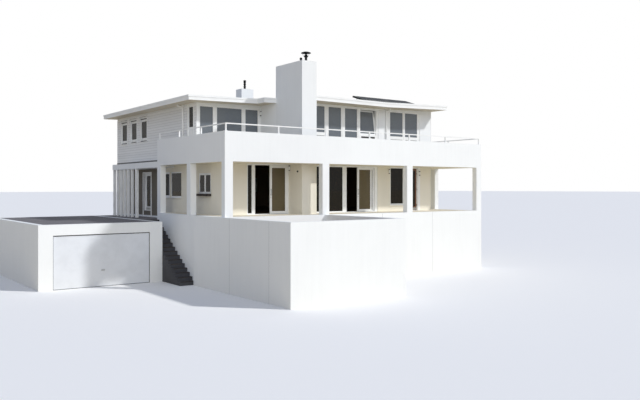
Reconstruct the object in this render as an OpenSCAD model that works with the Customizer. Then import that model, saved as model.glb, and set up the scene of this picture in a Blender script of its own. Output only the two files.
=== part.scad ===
// Two-storey beach house on a raised terrace: a colonnade carries a deck round
// the upper floor, with a garage, an outside stair and a walled planter below.
// All lengths are millimetres. In plan, x runs from the left face of the deck,
// y from the front face of the deck, and z from the paved terrace.

/* [Deck and colonnade] */
// Length of the deck along the front
deck_length = 16600; // [16200:50:17400]
// Depth of the deck along each side
deck_depth = 7300; // [6900:50:7700]
// Height of the deck's underside above the terrace
deck_soffit = 2450; // [2400:10:2500]
// Height of the white band that hides the deck edge and forms its parapet
band_height = 1330; // [1100:10:1500]
// Thickness of the deck from underside to floor
deck_thickness = 500; // [300:10:540]
// Thickness of the parapet
parapet = 200; // [120:10:300]
// Width of a column along the deck's face
column = 400; // [300:10:450]
// Depth of a column from the deck's face inwards
column_depth = 300; // [220:10:400]
// Distance between the first and the second front column
bay_left = 5280; // [5000:20:5600]
// Distance between the second and the third front column
bay_middle = 5520; // [5200:20:5700]
// Distance between the first and the second side column
bay_side = 3390; // [3000:10:3800]

/* [Deck rail] */
// Height of the rail's top above the parapet
rail_height = 360; // [250:10:600]
// Side of the square rail posts
rail_tube = 60; // [50:5:80]
// Side of the square bars between the posts
rail_bar = 50; // [30:5:50]
// Distance from the parapet's outer face to the middle of the rail
rail_inset = 100; // [60:5:120]
// Bays of the front rail
rail_bays = 6; // [4:1:8]
// Bays of each side rail
rail_side_bays = 3; // [2:1:4]

/* [House] */
// Distance from the deck's left face to the house wall
side_terrace = 950; // [800:10:1100]
// Distance from the deck's right face to the house wall
right_terrace = 2060; // [1800:10:2200]
// Distance from the deck's front face to the house wall
front_terrace = 2000; // [1800:10:2200]
// Depth of the house from its front wall to its rear wall
house_depth = 13600; // [13400:50:14500]
// Thickness of the outer walls
wall = 300; // [250:10:350]
// Height of the ground storey from floor to ceiling
ground_storey = 2700; // [2600:10:2850]
// Thickness of the upper floor
upper_slab = 300; // [250:10:350]
// Height from the upper floor to the eaves at the front downpipe
upper_storey = 2600; // [2590:5:2700]
// Distance from the front wall to the set-back wall of the upper left block
balcony_depth = 2700; // [2500:10:2900]
// Thickness of the ground floor and of the terrace
ground_slab = 250; // [200:10:350]

/* [Roof] */
// Height of the roof plate at its edge
roof_plate = 250; // [200:10:320]
// Height of the upstand round the roof's edge
upstand_height = 90; // [60:5:120]
// Width of the upstand
upstand_width = 120; // [80:10:200]
// How far the upstand stands out over the plate's edge
roof_lip = 20; // [5:5:40]
// Overhang of the roof to the left
eave_left = 850; // [500:10:900]
// Overhang of the roof to the right
eave_right = 350; // [150:10:600]
// Overhang of the roof over the set-back left block
eave_left_front = 890; // [500:10:1000]
// Overhang of the roof over the right block
eave_front = 1000; // [600:10:1100]
// Overhang of the roof at the rear
eave_rear = 200; // [150:10:600]
// Width of the roof's step beside the tall chimney
roof_step_width = 730; // [600:10:1000]
// Distance from the tall chimney's rear face forward to the front of that step
roof_step_depth = 60; // [60:10:600]
// Distance from the tall chimney to the low point of the roof at the downpipe
low_point = 4860; // [4000:20:5500]
// Rise of the roof from the low point to its right end
rise_right = 140; // [0:10:200]
// Rise of the roof from the low point to the tall chimney
rise_middle = 20; // [0:5:60]
// Fall of the roof from the tall chimney to its left end
fall_left = 90; // [0:10:90]

/* [Tall chimney] */
// Distance from the left house wall to the chimney
chimney_x = 3720; // [3600:10:3800]
// Width of the chimney across the front
chimney_width = 870; // [700:10:900]
// Depth of the chimney
chimney_depth = 2350; // [2200:10:2500]
// Distance from the chimney's face to the front wall behind it
chimney_proud = 1150; // [1000:10:1200]
// Height of the chimney above the terrace
chimney_height = 7480; // [7000:20:8200]
// Distance from the chimney's face to the middle of the cowl
cowl_y = 290; // [250:10:700]
// Distance from the chimney's left face to the middle of the second flue
second_flue_x = 150; // [110:10:180]
// Distance from the chimney's face to the middle of the second flue
second_flue_y = 310; // [150:10:1500]
// Diameter of the cowl's hood
cowl_hood = 490; // [300:10:600]
// Diameter of the cowl's pipe
cowl_pipe = 120; // [80:5:180]
// Height of the cowl
cowl_height = 500; // [300:10:600]
// Diameter of the second flue
second_flue = 150; // [100:5:200]
// Height of the second flue
second_flue_height = 180; // [120:10:260]

/* [Small chimney] */
// Width of the small chimney
small_width = 790; // [600:10:1000]
// Depth of the small chimney
small_depth = 640; // [500:10:900]
// Distance from the left house wall to the small chimney
small_x = 4460; // [4200:20:4800]
// Distance from the front wall to the small chimney
small_y = 6000; // [5500:20:6600]
// Height of the small chimney's top above the upper floor
small_height = 3980; // [3700:20:4300]
// Diameter of its flue
small_flue = 180; // [120:10:240]
// Height of its flue
small_flue_height = 560; // [300:10:600]

/* [Openings of the ground storey] */
// Width of the pier between the left corner and the left glazing
left_pier = 1320; // [1200:10:1400]
// Width of the narrow side light of the left glazing
side_light = 350; // [250:10:450]
// Width of the post between a fixed light and a sliding door
slider_post = 120; // [100:5:200]
// Width of the jamb that a sliding door opens towards
slider_jamb = 80; // [60:5:120]
// Distance from the tall chimney to the wide window
wide_window_x = 360; // [300:10:450]
// Width of the wide window
wide_window = 2250; // [2100:10:2350]
// Width of the post between the wide window and the right sliding door
wide_post = 200; // [120:10:260]
// Clear width of the right sliding door's frame
right_slider_clear = 1950; // [1900:10:2050]
// Width of the jamb at the right sliding door
right_slider_jamb = 200; // [100:10:260]
// Distance from the right sliding door's jamb to the tall window
tall_window_x = 900; // [700:10:1000]
// Width of the tall window
tall_window = 1050; // [800:10:1150]
// Height of the tall window's sill
tall_sill = 350; // [250:10:500]
// Width of the pier between the tall window and the terrace door
door_pier = 150; // [150:10:300]
// Width of the terrace door's opening
terrace_door_width = 900; // [850:10:1050]
// Width of the pier between the terrace door and the right corner
right_pier = 1040; // [700:10:1200]
// Distance from the front wall to the kitchen casement in the left wall
casement_y = 1150; // [1000:10:1300]
// Width of a casement window
casement_width = 1300; // [1100:10:1400]
// Sill height of the casement window
casement_sill = 1000; // [900:10:1100]
// Height of the casement window
casement_height = 1010; // [800:10:1100]
// Distance from the front wall to the paired windows in the left wall
pair_y = 4430; // [4200:10:4600]
// Width of the second of the paired windows
pair_width = 1000; // [900:10:1100]
// Width of the pier between the paired windows
pair_pier = 150; // [150:10:300]
// Sill height of the paired windows
pair_sill = 790; // [700:10:1000]
// Height of the paired windows
pair_height = 1340; // [1100:10:1400]
// Distance from the front wall to the porch door
porch_door_y = 8400; // [8200:10:8600]
// Width of the porch door's opening
porch_door_width = 1050; // [950:10:1150]
// Height of the porch door's opening
porch_door_height = 2150; // [2050:10:2200]

/* [Openings of the upper storey] */
// Height of the sill of the tall front windows above the upper floor
low_sill = 100; // [60:10:200]
// Height of the front windows' heads above the upper floor
front_head = 2560; // [2450:5:2560]
// Height of the corner glazing's head above the upper floor
corner_head = 2440; // [2350:10:2450]
// Width of the pier at the corner of the left block
corner_pier = 150; // [120:10:200]
// Width of the corner window in the left wall
corner_side_window = 640; // [400:10:700]
// Width of each bedroom window in the left wall
bedroom_window = 950; // [800:10:1050]
// Distance from one bedroom window to the next
bedroom_pitch = 1520; // [1400:10:1600]
// Distance from the last bedroom window to the rear wall's outer face
bedroom_end = 670; // [600:10:900]
// Height of the bedroom windows' sills above the upper floor
bedroom_sill = 950; // [800:10:1100]
// Height of the bedroom windows
bedroom_height = 1360; // [1200:10:1400]
// Distance from the tall chimney to the first group of front windows
group_one_x = 60; // [60:10:200]
// Width of the first group of front windows
group_one = 4950; // [4900:10:5050]
// Distance from the first group to the second group
group_gap = 600; // [400:10:700]
// Width of the second group of front windows
group_two = 2520; // [2500:10:2620]
// Height of the solid panels at the foot of the front windows
foot_panel = 1050; // [800:10:1200]
// Height of the solid panel at the foot of the corner window
corner_foot_panel = 1250; // [800:10:1400]
// Width of the two posts between the lights of the corner glazing
corner_post = 220; // [150:10:260]
// Width of the post between the balcony door and the chimney
corner_side_post = 150; // [100:10:200]
// Width of the light next to the corner
corner_light = 730; // [600:10:900]
// Width of the balcony door's glass
balcony_door_width = 750; // [650:10:850]
// Width of the posts in the first group
group_post = 250; // [200:10:320]
// Width of the post beside that group's opening sash
group_sash_post = 180; // [150:10:320]
// Width of the post at the first group's right end
group_side = 150; // [100:10:200]
// Width of the two middle lights of the first group
group_light = 830; // [700:10:850]
// Width of the opening sash of the first group
sash_light = 1150; // [1000:10:1200]
// Tilt of that sash, which stands open inwards, in degrees
sash_tilt = 8; // [2:1:12]
// Face width of that sash's frame
sash_face = 70; // [55:5:80]
// Width of the post at the second group's left end
group_two_side = 270; // [150:10:300]
// Width of the post at the second group's right end
group_two_end = 180; // [150:10:300]
// Width of the second group's middle post
group_two_post = 170; // [150:10:300]
// Width of the wall between the second group and the right corner
group_end = 870; // [700:10:1200]
// Bedroom windows in each side wall
bedroom_count = 3; // [2:1:3]
// Windows in the rear wall of the upper storey
rear_count = 4; // [2:1:5]
// Windows in the plain walls of the ground storey
plain_count = 2; // [2:1:4]

/* [Frames and doors] */
// Face width of a window frame member
frame = 60; // [45:5:80]
// Depth of a frame
frame_depth = 140; // [120:5:160]
// Distance from the outer wall face to a frame
frame_inset = 30; // [20:5:60]
// Thickness of a glass unit
glass = 24; // [20:1:32]
// Distance from a window frame's face to its glass
glass_setback = 20; // [10:5:60]
// Thickness of a door leaf
leaf = 54; // [50:1:60]
// Face width of a door leaf's stile and rail
stile = 95; // [80:5:120]
// Width of the left sliding door
left_slider_width = 995; // [950:5:1000]
// Width of the right sliding door
right_slider_width = 1000; // [960:5:1040]
// Distance that the right sliding door stands from its fully open place
right_slider_ajar = 195; // [100:5:220]
// Gap round a moving door
door_gap = 5; // [5:0.5:8]
// Running gap at rollers and hinge knuckles
running_gap = 0.3; // [0.2:0.1:0.6]
// Height of a door sill
sill_height = 20; // [15:1:25]
// Height of the rail that a sliding door rolls on
ridge_height = 8; // [6:1:10]
// Width of that rail
ridge_width = 10; // [8:1:12]
// Diameter of a sliding door's rollers
roller = 32; // [28:1:40]
// Distance from a sliding door's edge to the middle of a roller
roller_edge = 150; // [100:10:250]
// Diameter of a hinge knuckle
knuckle = 16; // [12:1:16]
// Height of a hinge knuckle
knuckle_height = 40; // [30:5:60]
// Distance from a hinge pin's middle to the face of the door
hinge_stand = 14; // [14:1:16]
// Distance from a hinge pin's middle to the far edge of its plate
hinge_plate = 32; // [26:1:40]
// Distance from the first and the last hinge to the end of the door
hinge_end = 250; // [200:10:300]

/* [Ground level] */
// Height of the terrace above the driveway
terrace_height = 3250; // [3100:10:3400]
// Thickness of the retaining walls
retaining = 300; // [250:10:350]
// Length of the planter in front of the deck
planter_length = 5360; // [4500:20:6000]
// Thickness of the planter's walls
planter_wall = 250; // [200:10:300]
// Depth of the planter below its rim
planter_deep = 600; // [400:20:800]
// How far the planter's wall stands out from the deck's face
planter_proud = 150; // [100:10:200]
// Distance from the end of the planter's wall to the foot of the stair
planter_return_gap = 140; // [100:10:300]

/* [Garage and stair] */
// Width of the stair between garage and terrace
stair_width = 760; // [700:10:1200]
// Number of steps
steps = 16; // [14:1:18]
// Going of each step
going = 275; // [240:5:280]
// Width of the garage
garage_width = 5760; // [5400:20:6400]
// Distance from the deck's front face to the garage's front
garage_y = 4900; // [4600:20:5200]
// Distance from the porch roof's end to the garage's rear wall
garage_rear = 600; // [400:20:900]
// Distance from the terrace down to the garage roof and the porch floor
porch_drop = 350; // [250:10:450]
// Thickness of the garage roof
garage_slab = 230; // [200:10:300]
// Width of the garage door
garage_door_width = 4500; // [3000:20:4700]
// Height of the garage door
garage_door_height = 2420; // [2100:10:2450]
// Width of the wall to the right of the garage door
garage_pier = 630; // [500:10:700]

/* [Porch] */
// Length of the porch roof
porch_length = 6600; // [6400:20:6900]
// Height of the porch roof's underside above the terrace
porch_soffit = 2350; // [2250:10:2450]
// Height of the porch roof's edge
porch_edge = 310; // [200:10:330]
// Side of the porch post
porch_post = 150; // [100:10:180]
// Distance from the deck's rear edge to the porch post
porch_post_y = 2900; // [2600:20:3000]
// Number of fins in the screen
fins = 6; // [4:1:6]
// Distance from one fin to the next
fin_pitch = 560; // [400:10:580]
// Depth of a fin
fin_depth = 160; // [120:10:200]
// Thickness of a fin
fin_thickness = 40; // [30:5:60]
// Distance from the last fin to the end of the porch roof
fin_end = 110; // [50:10:200]

/* [Rainwater pipes and solar panels] */
// Diameter of the rainwater pipes
pipe = 80; // [60:5:110]
// Gap between a rainwater pipe and the wall
pipe_gap = 20; // [10:5:40]
// Distance from the front wall to the pipe on the left wall
side_pipe_y = 4150; // [4000:10:4300]
// Distance from the second window group to the front pipe's middle
front_pipe_gap = 70; // [60:5:150]
// Number of solar panels
panels = 2; // [1:1:2]
// Width of a solar panel
panel_width = 1900; // [1600:20:2000]
// Length of a solar panel up its slope
panel_length = 1000; // [900:20:1200]
// Thickness of a solar panel
panel_thickness = 80; // [60:5:100]
// Gap between two solar panels
panel_gap = 20; // [10:5:40]
// Tilt of the solar panels in degrees
panel_tilt = 17; // [10:1:25]
// Distance from the tall chimney to the first solar panel
panel_x = 3390; // [2800:20:3600]
// Distance from the roof's front edge to the solar panels
panel_y = 300; // [200:20:600]
// Clear height under the solar panels' front edge
panel_clear = 20; // [10:5:100]
// Side of the square legs under the solar panels
panel_leg = 40; // [30:5:60]

/* [Hidden] */
$fn = 48;

// Plan of the house
house_x0 = side_terrace;
house_x1 = deck_length - right_terrace;
house_y0 = front_terrace;
house_y1 = front_terrace + house_depth;
inner_x0 = house_x0 + wall;
inner_x1 = house_x1 - wall;
inner_y0 = house_y0 + wall;
inner_y1 = house_y1 - wall;
side_wall = inner_y1 - inner_y0;
balcony_y = house_y0 + balcony_depth;
chimney_x0 = house_x0 + chimney_x;
chimney_x1 = chimney_x0 + chimney_width;
chimney_y0 = house_y0 - chimney_proud;
chimney_y1 = chimney_y0 + chimney_depth;
upper_z = ground_storey + upper_slab;
deck_floor = deck_soffit + deck_thickness;
band_top = deck_soffit + band_height;

// Plan of what stands beside and before the house
ground_z = -terrace_height;
porch_z = -porch_drop;
garage_x1 = -stair_width;
garage_x0 = garage_x1 - garage_width;
garage_y1 = deck_depth + porch_length + garage_rear;
planter_x0 = -planter_proud;
planter_x1 = bay_left + column;
planter_y0 = -planter_length;
stair_foot = deck_depth - steps * going;
planter_y1 = stair_foot - planter_return_gap;

// Roof outline in plan, and the line of its underside along the front
roof_x0 = house_x0 - eave_left;
roof_x1 = house_x1 + eave_right;
roof_y0 = house_y0 - eave_front;
roof_y1 = house_y1 + eave_rear;
roof_left_y = balcony_y - eave_left_front;
roof_middle_y = chimney_y1 - roof_step_depth;
roof_step_x = chimney_x0 - roof_step_width;
low_x = chimney_x1 + low_point;
eaves_z = upper_z + upper_storey;
soffit_line = [
    [roof_x0, eaves_z + rise_middle - fall_left],
    [chimney_x0, eaves_z + rise_middle],
    [low_x, eaves_z],
    [roof_x1, eaves_z + rise_right]
];
roof_surface = roof_plate - upstand_height;

// Box that the whole building fills, which sets the origin
box_x0 = garage_x0;
box_x1 = deck_length;
box_y0 = planter_y0;
box_y1 = roof_y1;

// Window rows are [start, width, sill, head, lights], measured along the wall
// from its start and up from its floor. A light is [offset, width, foot], with a
// fourth entry where its sash stands open and so holds its pane.
function lights(width, count, post, foot) = [
    for (i = [0:count - 1])
        let (each_width = (width - 2 * frame - (count - 1) * post) / count)
        [frame + i * (each_width + post), each_width, foot]
];

left_slider_x = left_pier + side_light + slider_post;
left_slider_clear = chimney_x - left_slider_x - slider_jamb;
door_head = deck_soffit - frame;
slider_setback = 10;
fixed_light_setback = 6;
track_y = frame_inset + slider_setback;
fixed_y = frame_inset + frame_depth - leaf - fixed_light_setback;
slider_foot = sill_height + 2 * ridge_height;
hinged_foot = sill_height + ridge_height;

ground_left_windows = [[left_pier, side_light, 0, deck_soffit, lights(side_light, 1, 0, frame)]];

// In the right block the doors and posts keep their widths, and the windows and
// piers share the rest of the wall in proportion
right_block = house_x1 - chimney_x1;
kept_widths = wide_post + right_slider_clear + right_slider_jamb + terrace_door_width;
shared_widths = wide_window_x + wide_window + tall_window_x + tall_window + door_pier + right_pier;
fit = (right_block - kept_widths) / shared_widths;
wide_x = fit * wide_window_x;
wide_width = fit * wide_window;
right_slider_post_x = wide_x + wide_width;
right_slider_x = right_slider_post_x + wide_post;
right_slider_end = right_slider_x + right_slider_clear + right_slider_jamb;
tall_x = right_slider_end + fit * tall_window_x;
tall_width = fit * tall_window;
terrace_door_x = tall_x + tall_width + fit * door_pier;
ground_right_windows = [
    [wide_x, wide_width, 0, deck_soffit, lights(wide_width, 2, frame, frame)],
    [tall_x, tall_width, tall_sill, deck_soffit, lights(tall_width, 1, 0, frame)]
];

// The left glazing takes up the wall from its pier to the tall chimney, and the
// right glazing, tall window and terrace door follow one another from it.
ground_left_openings = [[left_pier, chimney_x - left_pier, 0, deck_soffit]];
ground_right_openings = [
    [wide_x, right_slider_end - wide_x, 0, deck_soffit],
    [tall_x, tall_width, tall_sill, deck_soffit],
    [terrace_door_x, terrace_door_width, 0, deck_soffit]
];

// Side and rear walls of the ground storey
casement = [casement_y - wall, casement_width, casement_sill, casement_sill + casement_height,
    lights(casement_width, 2, frame, frame)];
near_window = [pair_y - wall, casement_width, pair_sill, pair_sill + pair_height,
    lights(casement_width, 1, 0, frame)];
far_window = [pair_y - wall + casement_width + pair_pier, pair_width, pair_sill, pair_sill + pair_height,
    lights(pair_width, 1, 0, frame)];
porch_opening = [porch_door_y - wall, porch_door_width, 0, porch_door_height];
ground_side_windows = [casement, near_window, far_window];
ground_side_openings = [casement, near_window, far_window, porch_opening];
// The unseen walls repeat the casement at even distances
function plain_window(start) = [start, casement_width, casement_sill, casement_sill + casement_height,
    lights(casement_width, 2, frame, frame)];
function spread(length, count, width) = [
    for (i = [0:count - 1]) (i + 1) * (length - count * width) / (count + 1) + i * width
];
ground_right_plain = [for (s = spread(side_wall, plain_count, casement_width)) plain_window(s)];
ground_rear_plain = [
    for (s = spread(house_x1 - house_x0, plain_count, casement_width)) plain_window(s)
];

// Upper storey
function bedroom(start) = [start, bedroom_window, bedroom_sill, bedroom_sill + bedroom_height,
    lights(bedroom_window, 1, 0, frame)];
corner_window = [0, corner_side_window, low_sill, corner_head,
    lights(corner_side_window, 1, 0, corner_foot_panel)];
upper_left_start = balcony_y + wall;
upper_left_windows = concat([corner_window], [
    for (i = [bedroom_count - 1:-1:0])
        bedroom(house_y1 - upper_left_start - bedroom_end - bedroom_window - i * bedroom_pitch)
]);
upper_right_windows = [for (s = spread(side_wall, bedroom_count, bedroom_window)) bedroom(s)];
upper_rear_windows = [
    for (s = spread(house_x1 - house_x0, rear_count, bedroom_window)) bedroom(s)
];

// Corner glazing of the left block: two wide lights and a balcony door
corner_width = chimney_x - corner_pier;
middle_light = corner_width - frame - corner_light - 2 * corner_post
    - balcony_door_width - corner_side_post;
corner_glazing = [corner_pier, corner_width, low_sill, corner_head, [
    [frame, corner_light, frame],
    [frame + corner_light + corner_post, middle_light, frame],
    [frame + corner_light + middle_light + 2 * corner_post, balcony_door_width, frame]
]];

// Two groups of tall windows in the right block, with solid panels at the foot
upper_fit = right_block / (group_one_x + group_one + group_gap + group_two + group_end);
one_x = upper_fit * group_one_x;
one_width = upper_fit * group_one;
two_x = upper_fit * (group_one_x + group_one + group_gap);
two_width = upper_fit * group_two;
middle_width = upper_fit * group_light;
sash_opening = upper_fit * sash_light;
first_light = one_width - group_side - 2 * group_post - group_sash_post - 2 * middle_width
    - frame - sash_opening;
sash_x = frame + first_light + 2 * middle_width + 2 * group_post + group_sash_post;
sash_width = sash_opening - 2 * door_gap;
sash_height = front_head - low_sill - foot_panel - frame - 2 * door_gap;
group_one_window = [one_x, one_width, low_sill, front_head, [
    [frame, first_light, foot_panel],
    [frame + first_light + group_post, middle_width, frame],
    [frame + first_light + middle_width + 2 * group_post, middle_width, frame],
    [sash_x, sash_opening, foot_panel, "open"]
]];
two_light = (two_width - group_two_side - group_two_end - group_two_post) / 2;
group_two_window = [two_x, two_width, low_sill, front_head, [
    [group_two_side, two_light, foot_panel],
    [group_two_side + two_light + group_two_post, two_light, foot_panel]
]];
upper_front_windows = [group_one_window, group_two_window];

// Walls, drawn along +x with their outer face at y = 0
module piers(length, height, openings) {
    edges = concat([0], [for (o = openings) each [o[0], o[0] + o[1]]], [length]);
    for (i = [0:2:len(edges) - 1])
        if (edges[i + 1] > edges[i] + 1)
            translate([edges[i], 0, 0]) cube([edges[i + 1] - edges[i], wall, height]);
}

module spandrels(height, openings) {
    for (o = openings) {
        if (o[2] > 0) translate([o[0], 0, 0]) cube([o[1], wall, o[2]]);
        if (o[3] < height) translate([o[0], 0, o[3]]) cube([o[1], wall, height - o[3]]);
    }
}

module cut_wall(length, height, openings) {
    difference() {
        cube([length, wall, height]);
        for (o = openings) {
            past = o[0] == 0 ? 1 : 0;
            translate([o[0] - past, -1, o[2]]) cube([o[1] + past, wall + 2, o[3] - o[2]]);
        }
    }
}

module window_frames(windows) {
    for (w = windows)
        translate([w[0], frame_inset, w[2]])
            difference() {
                cube([w[1], frame_depth, w[3] - w[2]]);
                for (l = w[4])
                    translate([l[0], -1, l[2]])
                        cube([l[1], frame_depth + 2, w[3] - w[2] - l[2] - frame]);
            }
}

module panes(windows) {
    for (w = windows)
        for (l = w[4])
            if (len(l) < 4)
                translate([w[0] + l[0], frame_inset + glass_setback, w[2] + l[2]])
                    cube([l[1], glass, w[3] - w[2] - l[2] - frame]);
}

// Places what is drawn along +x on each side of the house
module on_front(x, y, z) translate([x, y, z]) children();
module on_left(y, z) translate([house_x0, y, z]) mirror([1, -1, 0]) children();
module on_right(y, z) translate([house_x1, y, z]) rotate([0, 0, 90]) children();
module on_rear(x, z) translate([x, house_y1, z]) mirror([0, 1, 0]) children();

// Space between two heights above the sloping underside of the roof
module roof_band(low, high) {
    translate([0, roof_y1 + 1, 0]) rotate([90, 0, 0])
        linear_extrude(roof_y1 - roof_y0 + 2)
            polygon(concat(
                [for (p = soffit_line) [p[0], p[1] + high]],
                [for (i = [len(soffit_line) - 1:-1:0]) [soffit_line[i][0], soffit_line[i][1] + low]]
            ));
}

module under_roof() {
    intersection() {
        children();
        roof_band(-upper_storey - fall_left - rise_right - upper_slab, 0);
    }
}

// Roof outline in plan, drawn in by a distance, and by another at the chimney
module roof_plan(in, from_chimney) {
    polygon([
        [roof_x0 + in, roof_left_y + in],
        [roof_step_x + in, roof_left_y + in],
        [roof_step_x + in, roof_middle_y + in],
        [chimney_x0 - from_chimney, roof_middle_y + in],
        [chimney_x0 - from_chimney, chimney_y1 + from_chimney],
        [chimney_x1 + from_chimney, chimney_y1 + from_chimney],
        [chimney_x1 + from_chimney, roof_y0 + in],
        [roof_x1 - in, roof_y0 + in],
        [roof_x1 - in, roof_y1 - in],
        [roof_x0 + in, roof_y1 - in]
    ]);
}

// Below the terrace
module foundation_walls() {
    color("white") translate([0, 0, ground_z]) difference() {
        translate([house_x0, house_y0, 0])
            cube([house_x1 - house_x0, house_depth, terrace_height - ground_slab]);
        translate([inner_x0, inner_y0, -1])
            cube([inner_x1 - inner_x0, side_wall, terrace_height]);
    }
}

module plinth_walls() {
    color("white") translate([0, 0, ground_z]) linear_extrude(terrace_height)
        polygon([
            [0, 0], [deck_length, 0], [deck_length, deck_depth], [house_x1, deck_depth],
            [house_x1, deck_depth - retaining], [deck_length - retaining, deck_depth - retaining],
            [deck_length - retaining, retaining], [retaining, retaining],
            [retaining, deck_depth - retaining], [house_x0, deck_depth - retaining],
            [house_x0, deck_depth], [0, deck_depth]
        ]);
}

module terrace_slab() {
    color("gainsboro") translate([0, 0, -ground_slab]) linear_extrude(ground_slab)
        polygon([
            [retaining, retaining], [deck_length - retaining, retaining],
            [deck_length - retaining, deck_depth - retaining], [house_x1, deck_depth - retaining],
            [house_x1, house_y0], [house_x0, house_y0],
            [house_x0, deck_depth - retaining], [retaining, deck_depth - retaining]
        ]);
}

module ground_floor() {
    color("burlywood") translate([house_x0, house_y0, -ground_slab])
        cube([house_x1 - house_x0, house_depth, ground_slab]);
}

// Planter before the deck
module planter_side_walls() {
    color("white") translate([0, 0, ground_z]) linear_extrude(terrace_height) {
        polygon([
            [planter_x0, planter_y0], [planter_x0 + planter_wall, planter_y0],
            [planter_x0 + planter_wall, 0], [0, 0],
            [0, planter_y1], [planter_x0, planter_y1]
        ]);
        translate([planter_x1 - planter_wall, planter_y0]) square([planter_wall, planter_length]);
    }
}

module planter_front_wall() {
    color("white") translate([planter_x0 + planter_wall, planter_y0, ground_z])
        cube([planter_x1 - planter_x0 - 2 * planter_wall, planter_wall, terrace_height]);
}

module planter_floor() {
    color("tan") translate([planter_x0 + planter_wall, planter_y0 + planter_wall, -planter_deep - ground_slab])
        cube([planter_x1 - planter_x0 - 2 * planter_wall, planter_length - planter_wall, ground_slab]);
}

// Stair between garage and terrace
module stair() {
    rise = (terrace_height - porch_drop) / steps;
    color("gray") translate([garage_x1, 0, 0]) rotate([90, 0, 90])
        linear_extrude(stair_width)
            polygon(concat(
                [[deck_depth, ground_z], [stair_foot, ground_z]],
                [for (i = [0:steps - 1]) each [
                    [stair_foot + i * going, ground_z + (i + 1) * rise],
                    [stair_foot + (i + 1) * going, ground_z + (i + 1) * rise]
                ]]
            ));
}

module porch_floor() {
    color("gainsboro") translate([garage_x1, deck_depth, -porch_drop - garage_slab])
        cube([house_x0 - garage_x1, garage_y1 - deck_depth, garage_slab]);
}

// Garage
module garage_front_wall() {
    height = terrace_height - porch_drop;
    color("white") translate([garage_x0, garage_y, ground_z]) difference() {
        cube([garage_width, retaining, height]);
        translate([garage_width - garage_pier - garage_door_width, -1, -1])
            cube([garage_door_width, retaining + 2, garage_door_height + 1]);
    }
}

module garage_side_walls() {
    for (x = [garage_x0, garage_x1 - retaining])
        color("white") translate([x, garage_y + retaining, ground_z])
            cube([retaining, garage_y1 - garage_y - 2 * retaining, terrace_height - porch_drop]);
}

// The rear wall closes the garage and the space under the porch, and the other
// wall stands under the porch floor behind the stair
module garage_cross_walls() {
    height = terrace_height - porch_drop;
    under_porch = height - garage_slab;
    color("white") translate([0, garage_y1, ground_z]) rotate([90, 0, 0])
        linear_extrude(retaining)
            polygon([
                [garage_x0, 0], [house_x0, 0], [house_x0, under_porch],
                [garage_x1, under_porch], [garage_x1, height], [garage_x0, height]
            ]);
    color("white") translate([garage_x1, deck_depth, ground_z])
        cube([house_x0 - garage_x1, retaining, under_porch]);
}

module garage_roof() {
    color("gainsboro") translate([garage_x0 + retaining, garage_y + retaining, -porch_drop - garage_slab])
        cube([garage_width - 2 * retaining, garage_y1 - garage_y - 2 * retaining, garage_slab]);
}

module garage_door() {
    color("white") translate([garage_x1 - garage_pier - garage_door_width, garage_y + frame, ground_z])
        cube([garage_door_width, leaf, garage_door_height]);
}

// Ground storey
module ground_front_wall() {
    color("white") {
        on_front(house_x0, house_y0, 0) piers(chimney_x, ground_storey, ground_left_openings);
        on_front(chimney_x1, house_y0, 0)
            piers(house_x1 - chimney_x1, ground_storey, ground_right_openings);
    }
}

module ground_front_spandrels() {
    color("white") {
        on_front(house_x0, house_y0, 0) spandrels(ground_storey, ground_left_openings);
        on_front(chimney_x1, house_y0, 0) spandrels(ground_storey, ground_right_openings);
    }
}

module ground_side_walls() {
    color("white") {
        on_left(inner_y0, 0) piers(side_wall, ground_storey, ground_side_openings);
        on_right(inner_y0, 0) cut_wall(side_wall, ground_storey, ground_right_plain);
    }
}

module ground_side_spandrels() {
    color("white") on_left(inner_y0, 0) spandrels(ground_storey, ground_side_openings);
}

module ground_rear_wall() {
    color("white")
        on_rear(house_x0, 0) cut_wall(house_x1 - house_x0, ground_storey, ground_rear_plain);
}

// A glazed leaf or light: frame and glass, drawn with its outer face at y = 0
module leaf_frame(width, height, foot) {
    difference() {
        cube([width, leaf, height]);
        translate([stile, -1, foot]) cube([width - 2 * stile, leaf + 2, height - foot - stile]);
    }
}

module leaf_glass(width, height, foot) {
    translate([stile, (leaf - glass) / 2, foot])
        cube([width - 2 * stile, glass, height - foot - stile]);
}

// Places the fixed light that stands behind each sliding door
module fixed_light(start, clear, leaf_width) {
    translate([start + door_gap + leaf_width - stile, fixed_y, sill_height]) children();
}

left_fixed = left_slider_clear - door_gap - left_slider_width + stile;
right_fixed = right_slider_clear - door_gap - right_slider_width + stile;
fixed_height = door_head - sill_height;

module ground_window_frames() {
    color("white") {
        on_front(house_x0, house_y0, 0) {
            window_frames(ground_left_windows);
            fixed_light(left_slider_x, left_slider_clear, left_slider_width)
                leaf_frame(left_fixed, fixed_height, stile);
        }
        on_front(chimney_x1, house_y0, 0) {
            window_frames(ground_right_windows);
            fixed_light(right_slider_x, right_slider_clear, right_slider_width)
                leaf_frame(right_fixed, fixed_height, stile);
        }
        on_left(inner_y0, 0) window_frames(ground_side_windows);
        on_right(inner_y0, 0) window_frames(ground_right_plain);
        on_rear(house_x0, 0) window_frames(ground_rear_plain);
    }
}

module ground_glass() {
    color("lightslategray") {
        on_front(house_x0, house_y0, 0) {
            panes(ground_left_windows);
            fixed_light(left_slider_x, left_slider_clear, left_slider_width)
                leaf_glass(left_fixed, fixed_height, stile);
        }
        on_front(chimney_x1, house_y0, 0) {
            panes(ground_right_windows);
            fixed_light(right_slider_x, right_slider_clear, right_slider_width)
                leaf_glass(right_fixed, fixed_height, stile);
        }
        on_left(inner_y0, 0) panes(ground_side_windows);
        on_right(inner_y0, 0) panes(ground_right_plain);
        on_rear(house_x0, 0) panes(ground_rear_plain);
    }
}

// Frames of the doorways
module jamb(x, width, height) {
    translate([x, frame_inset, 0]) cube([width, frame_depth, height]);
}

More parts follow.
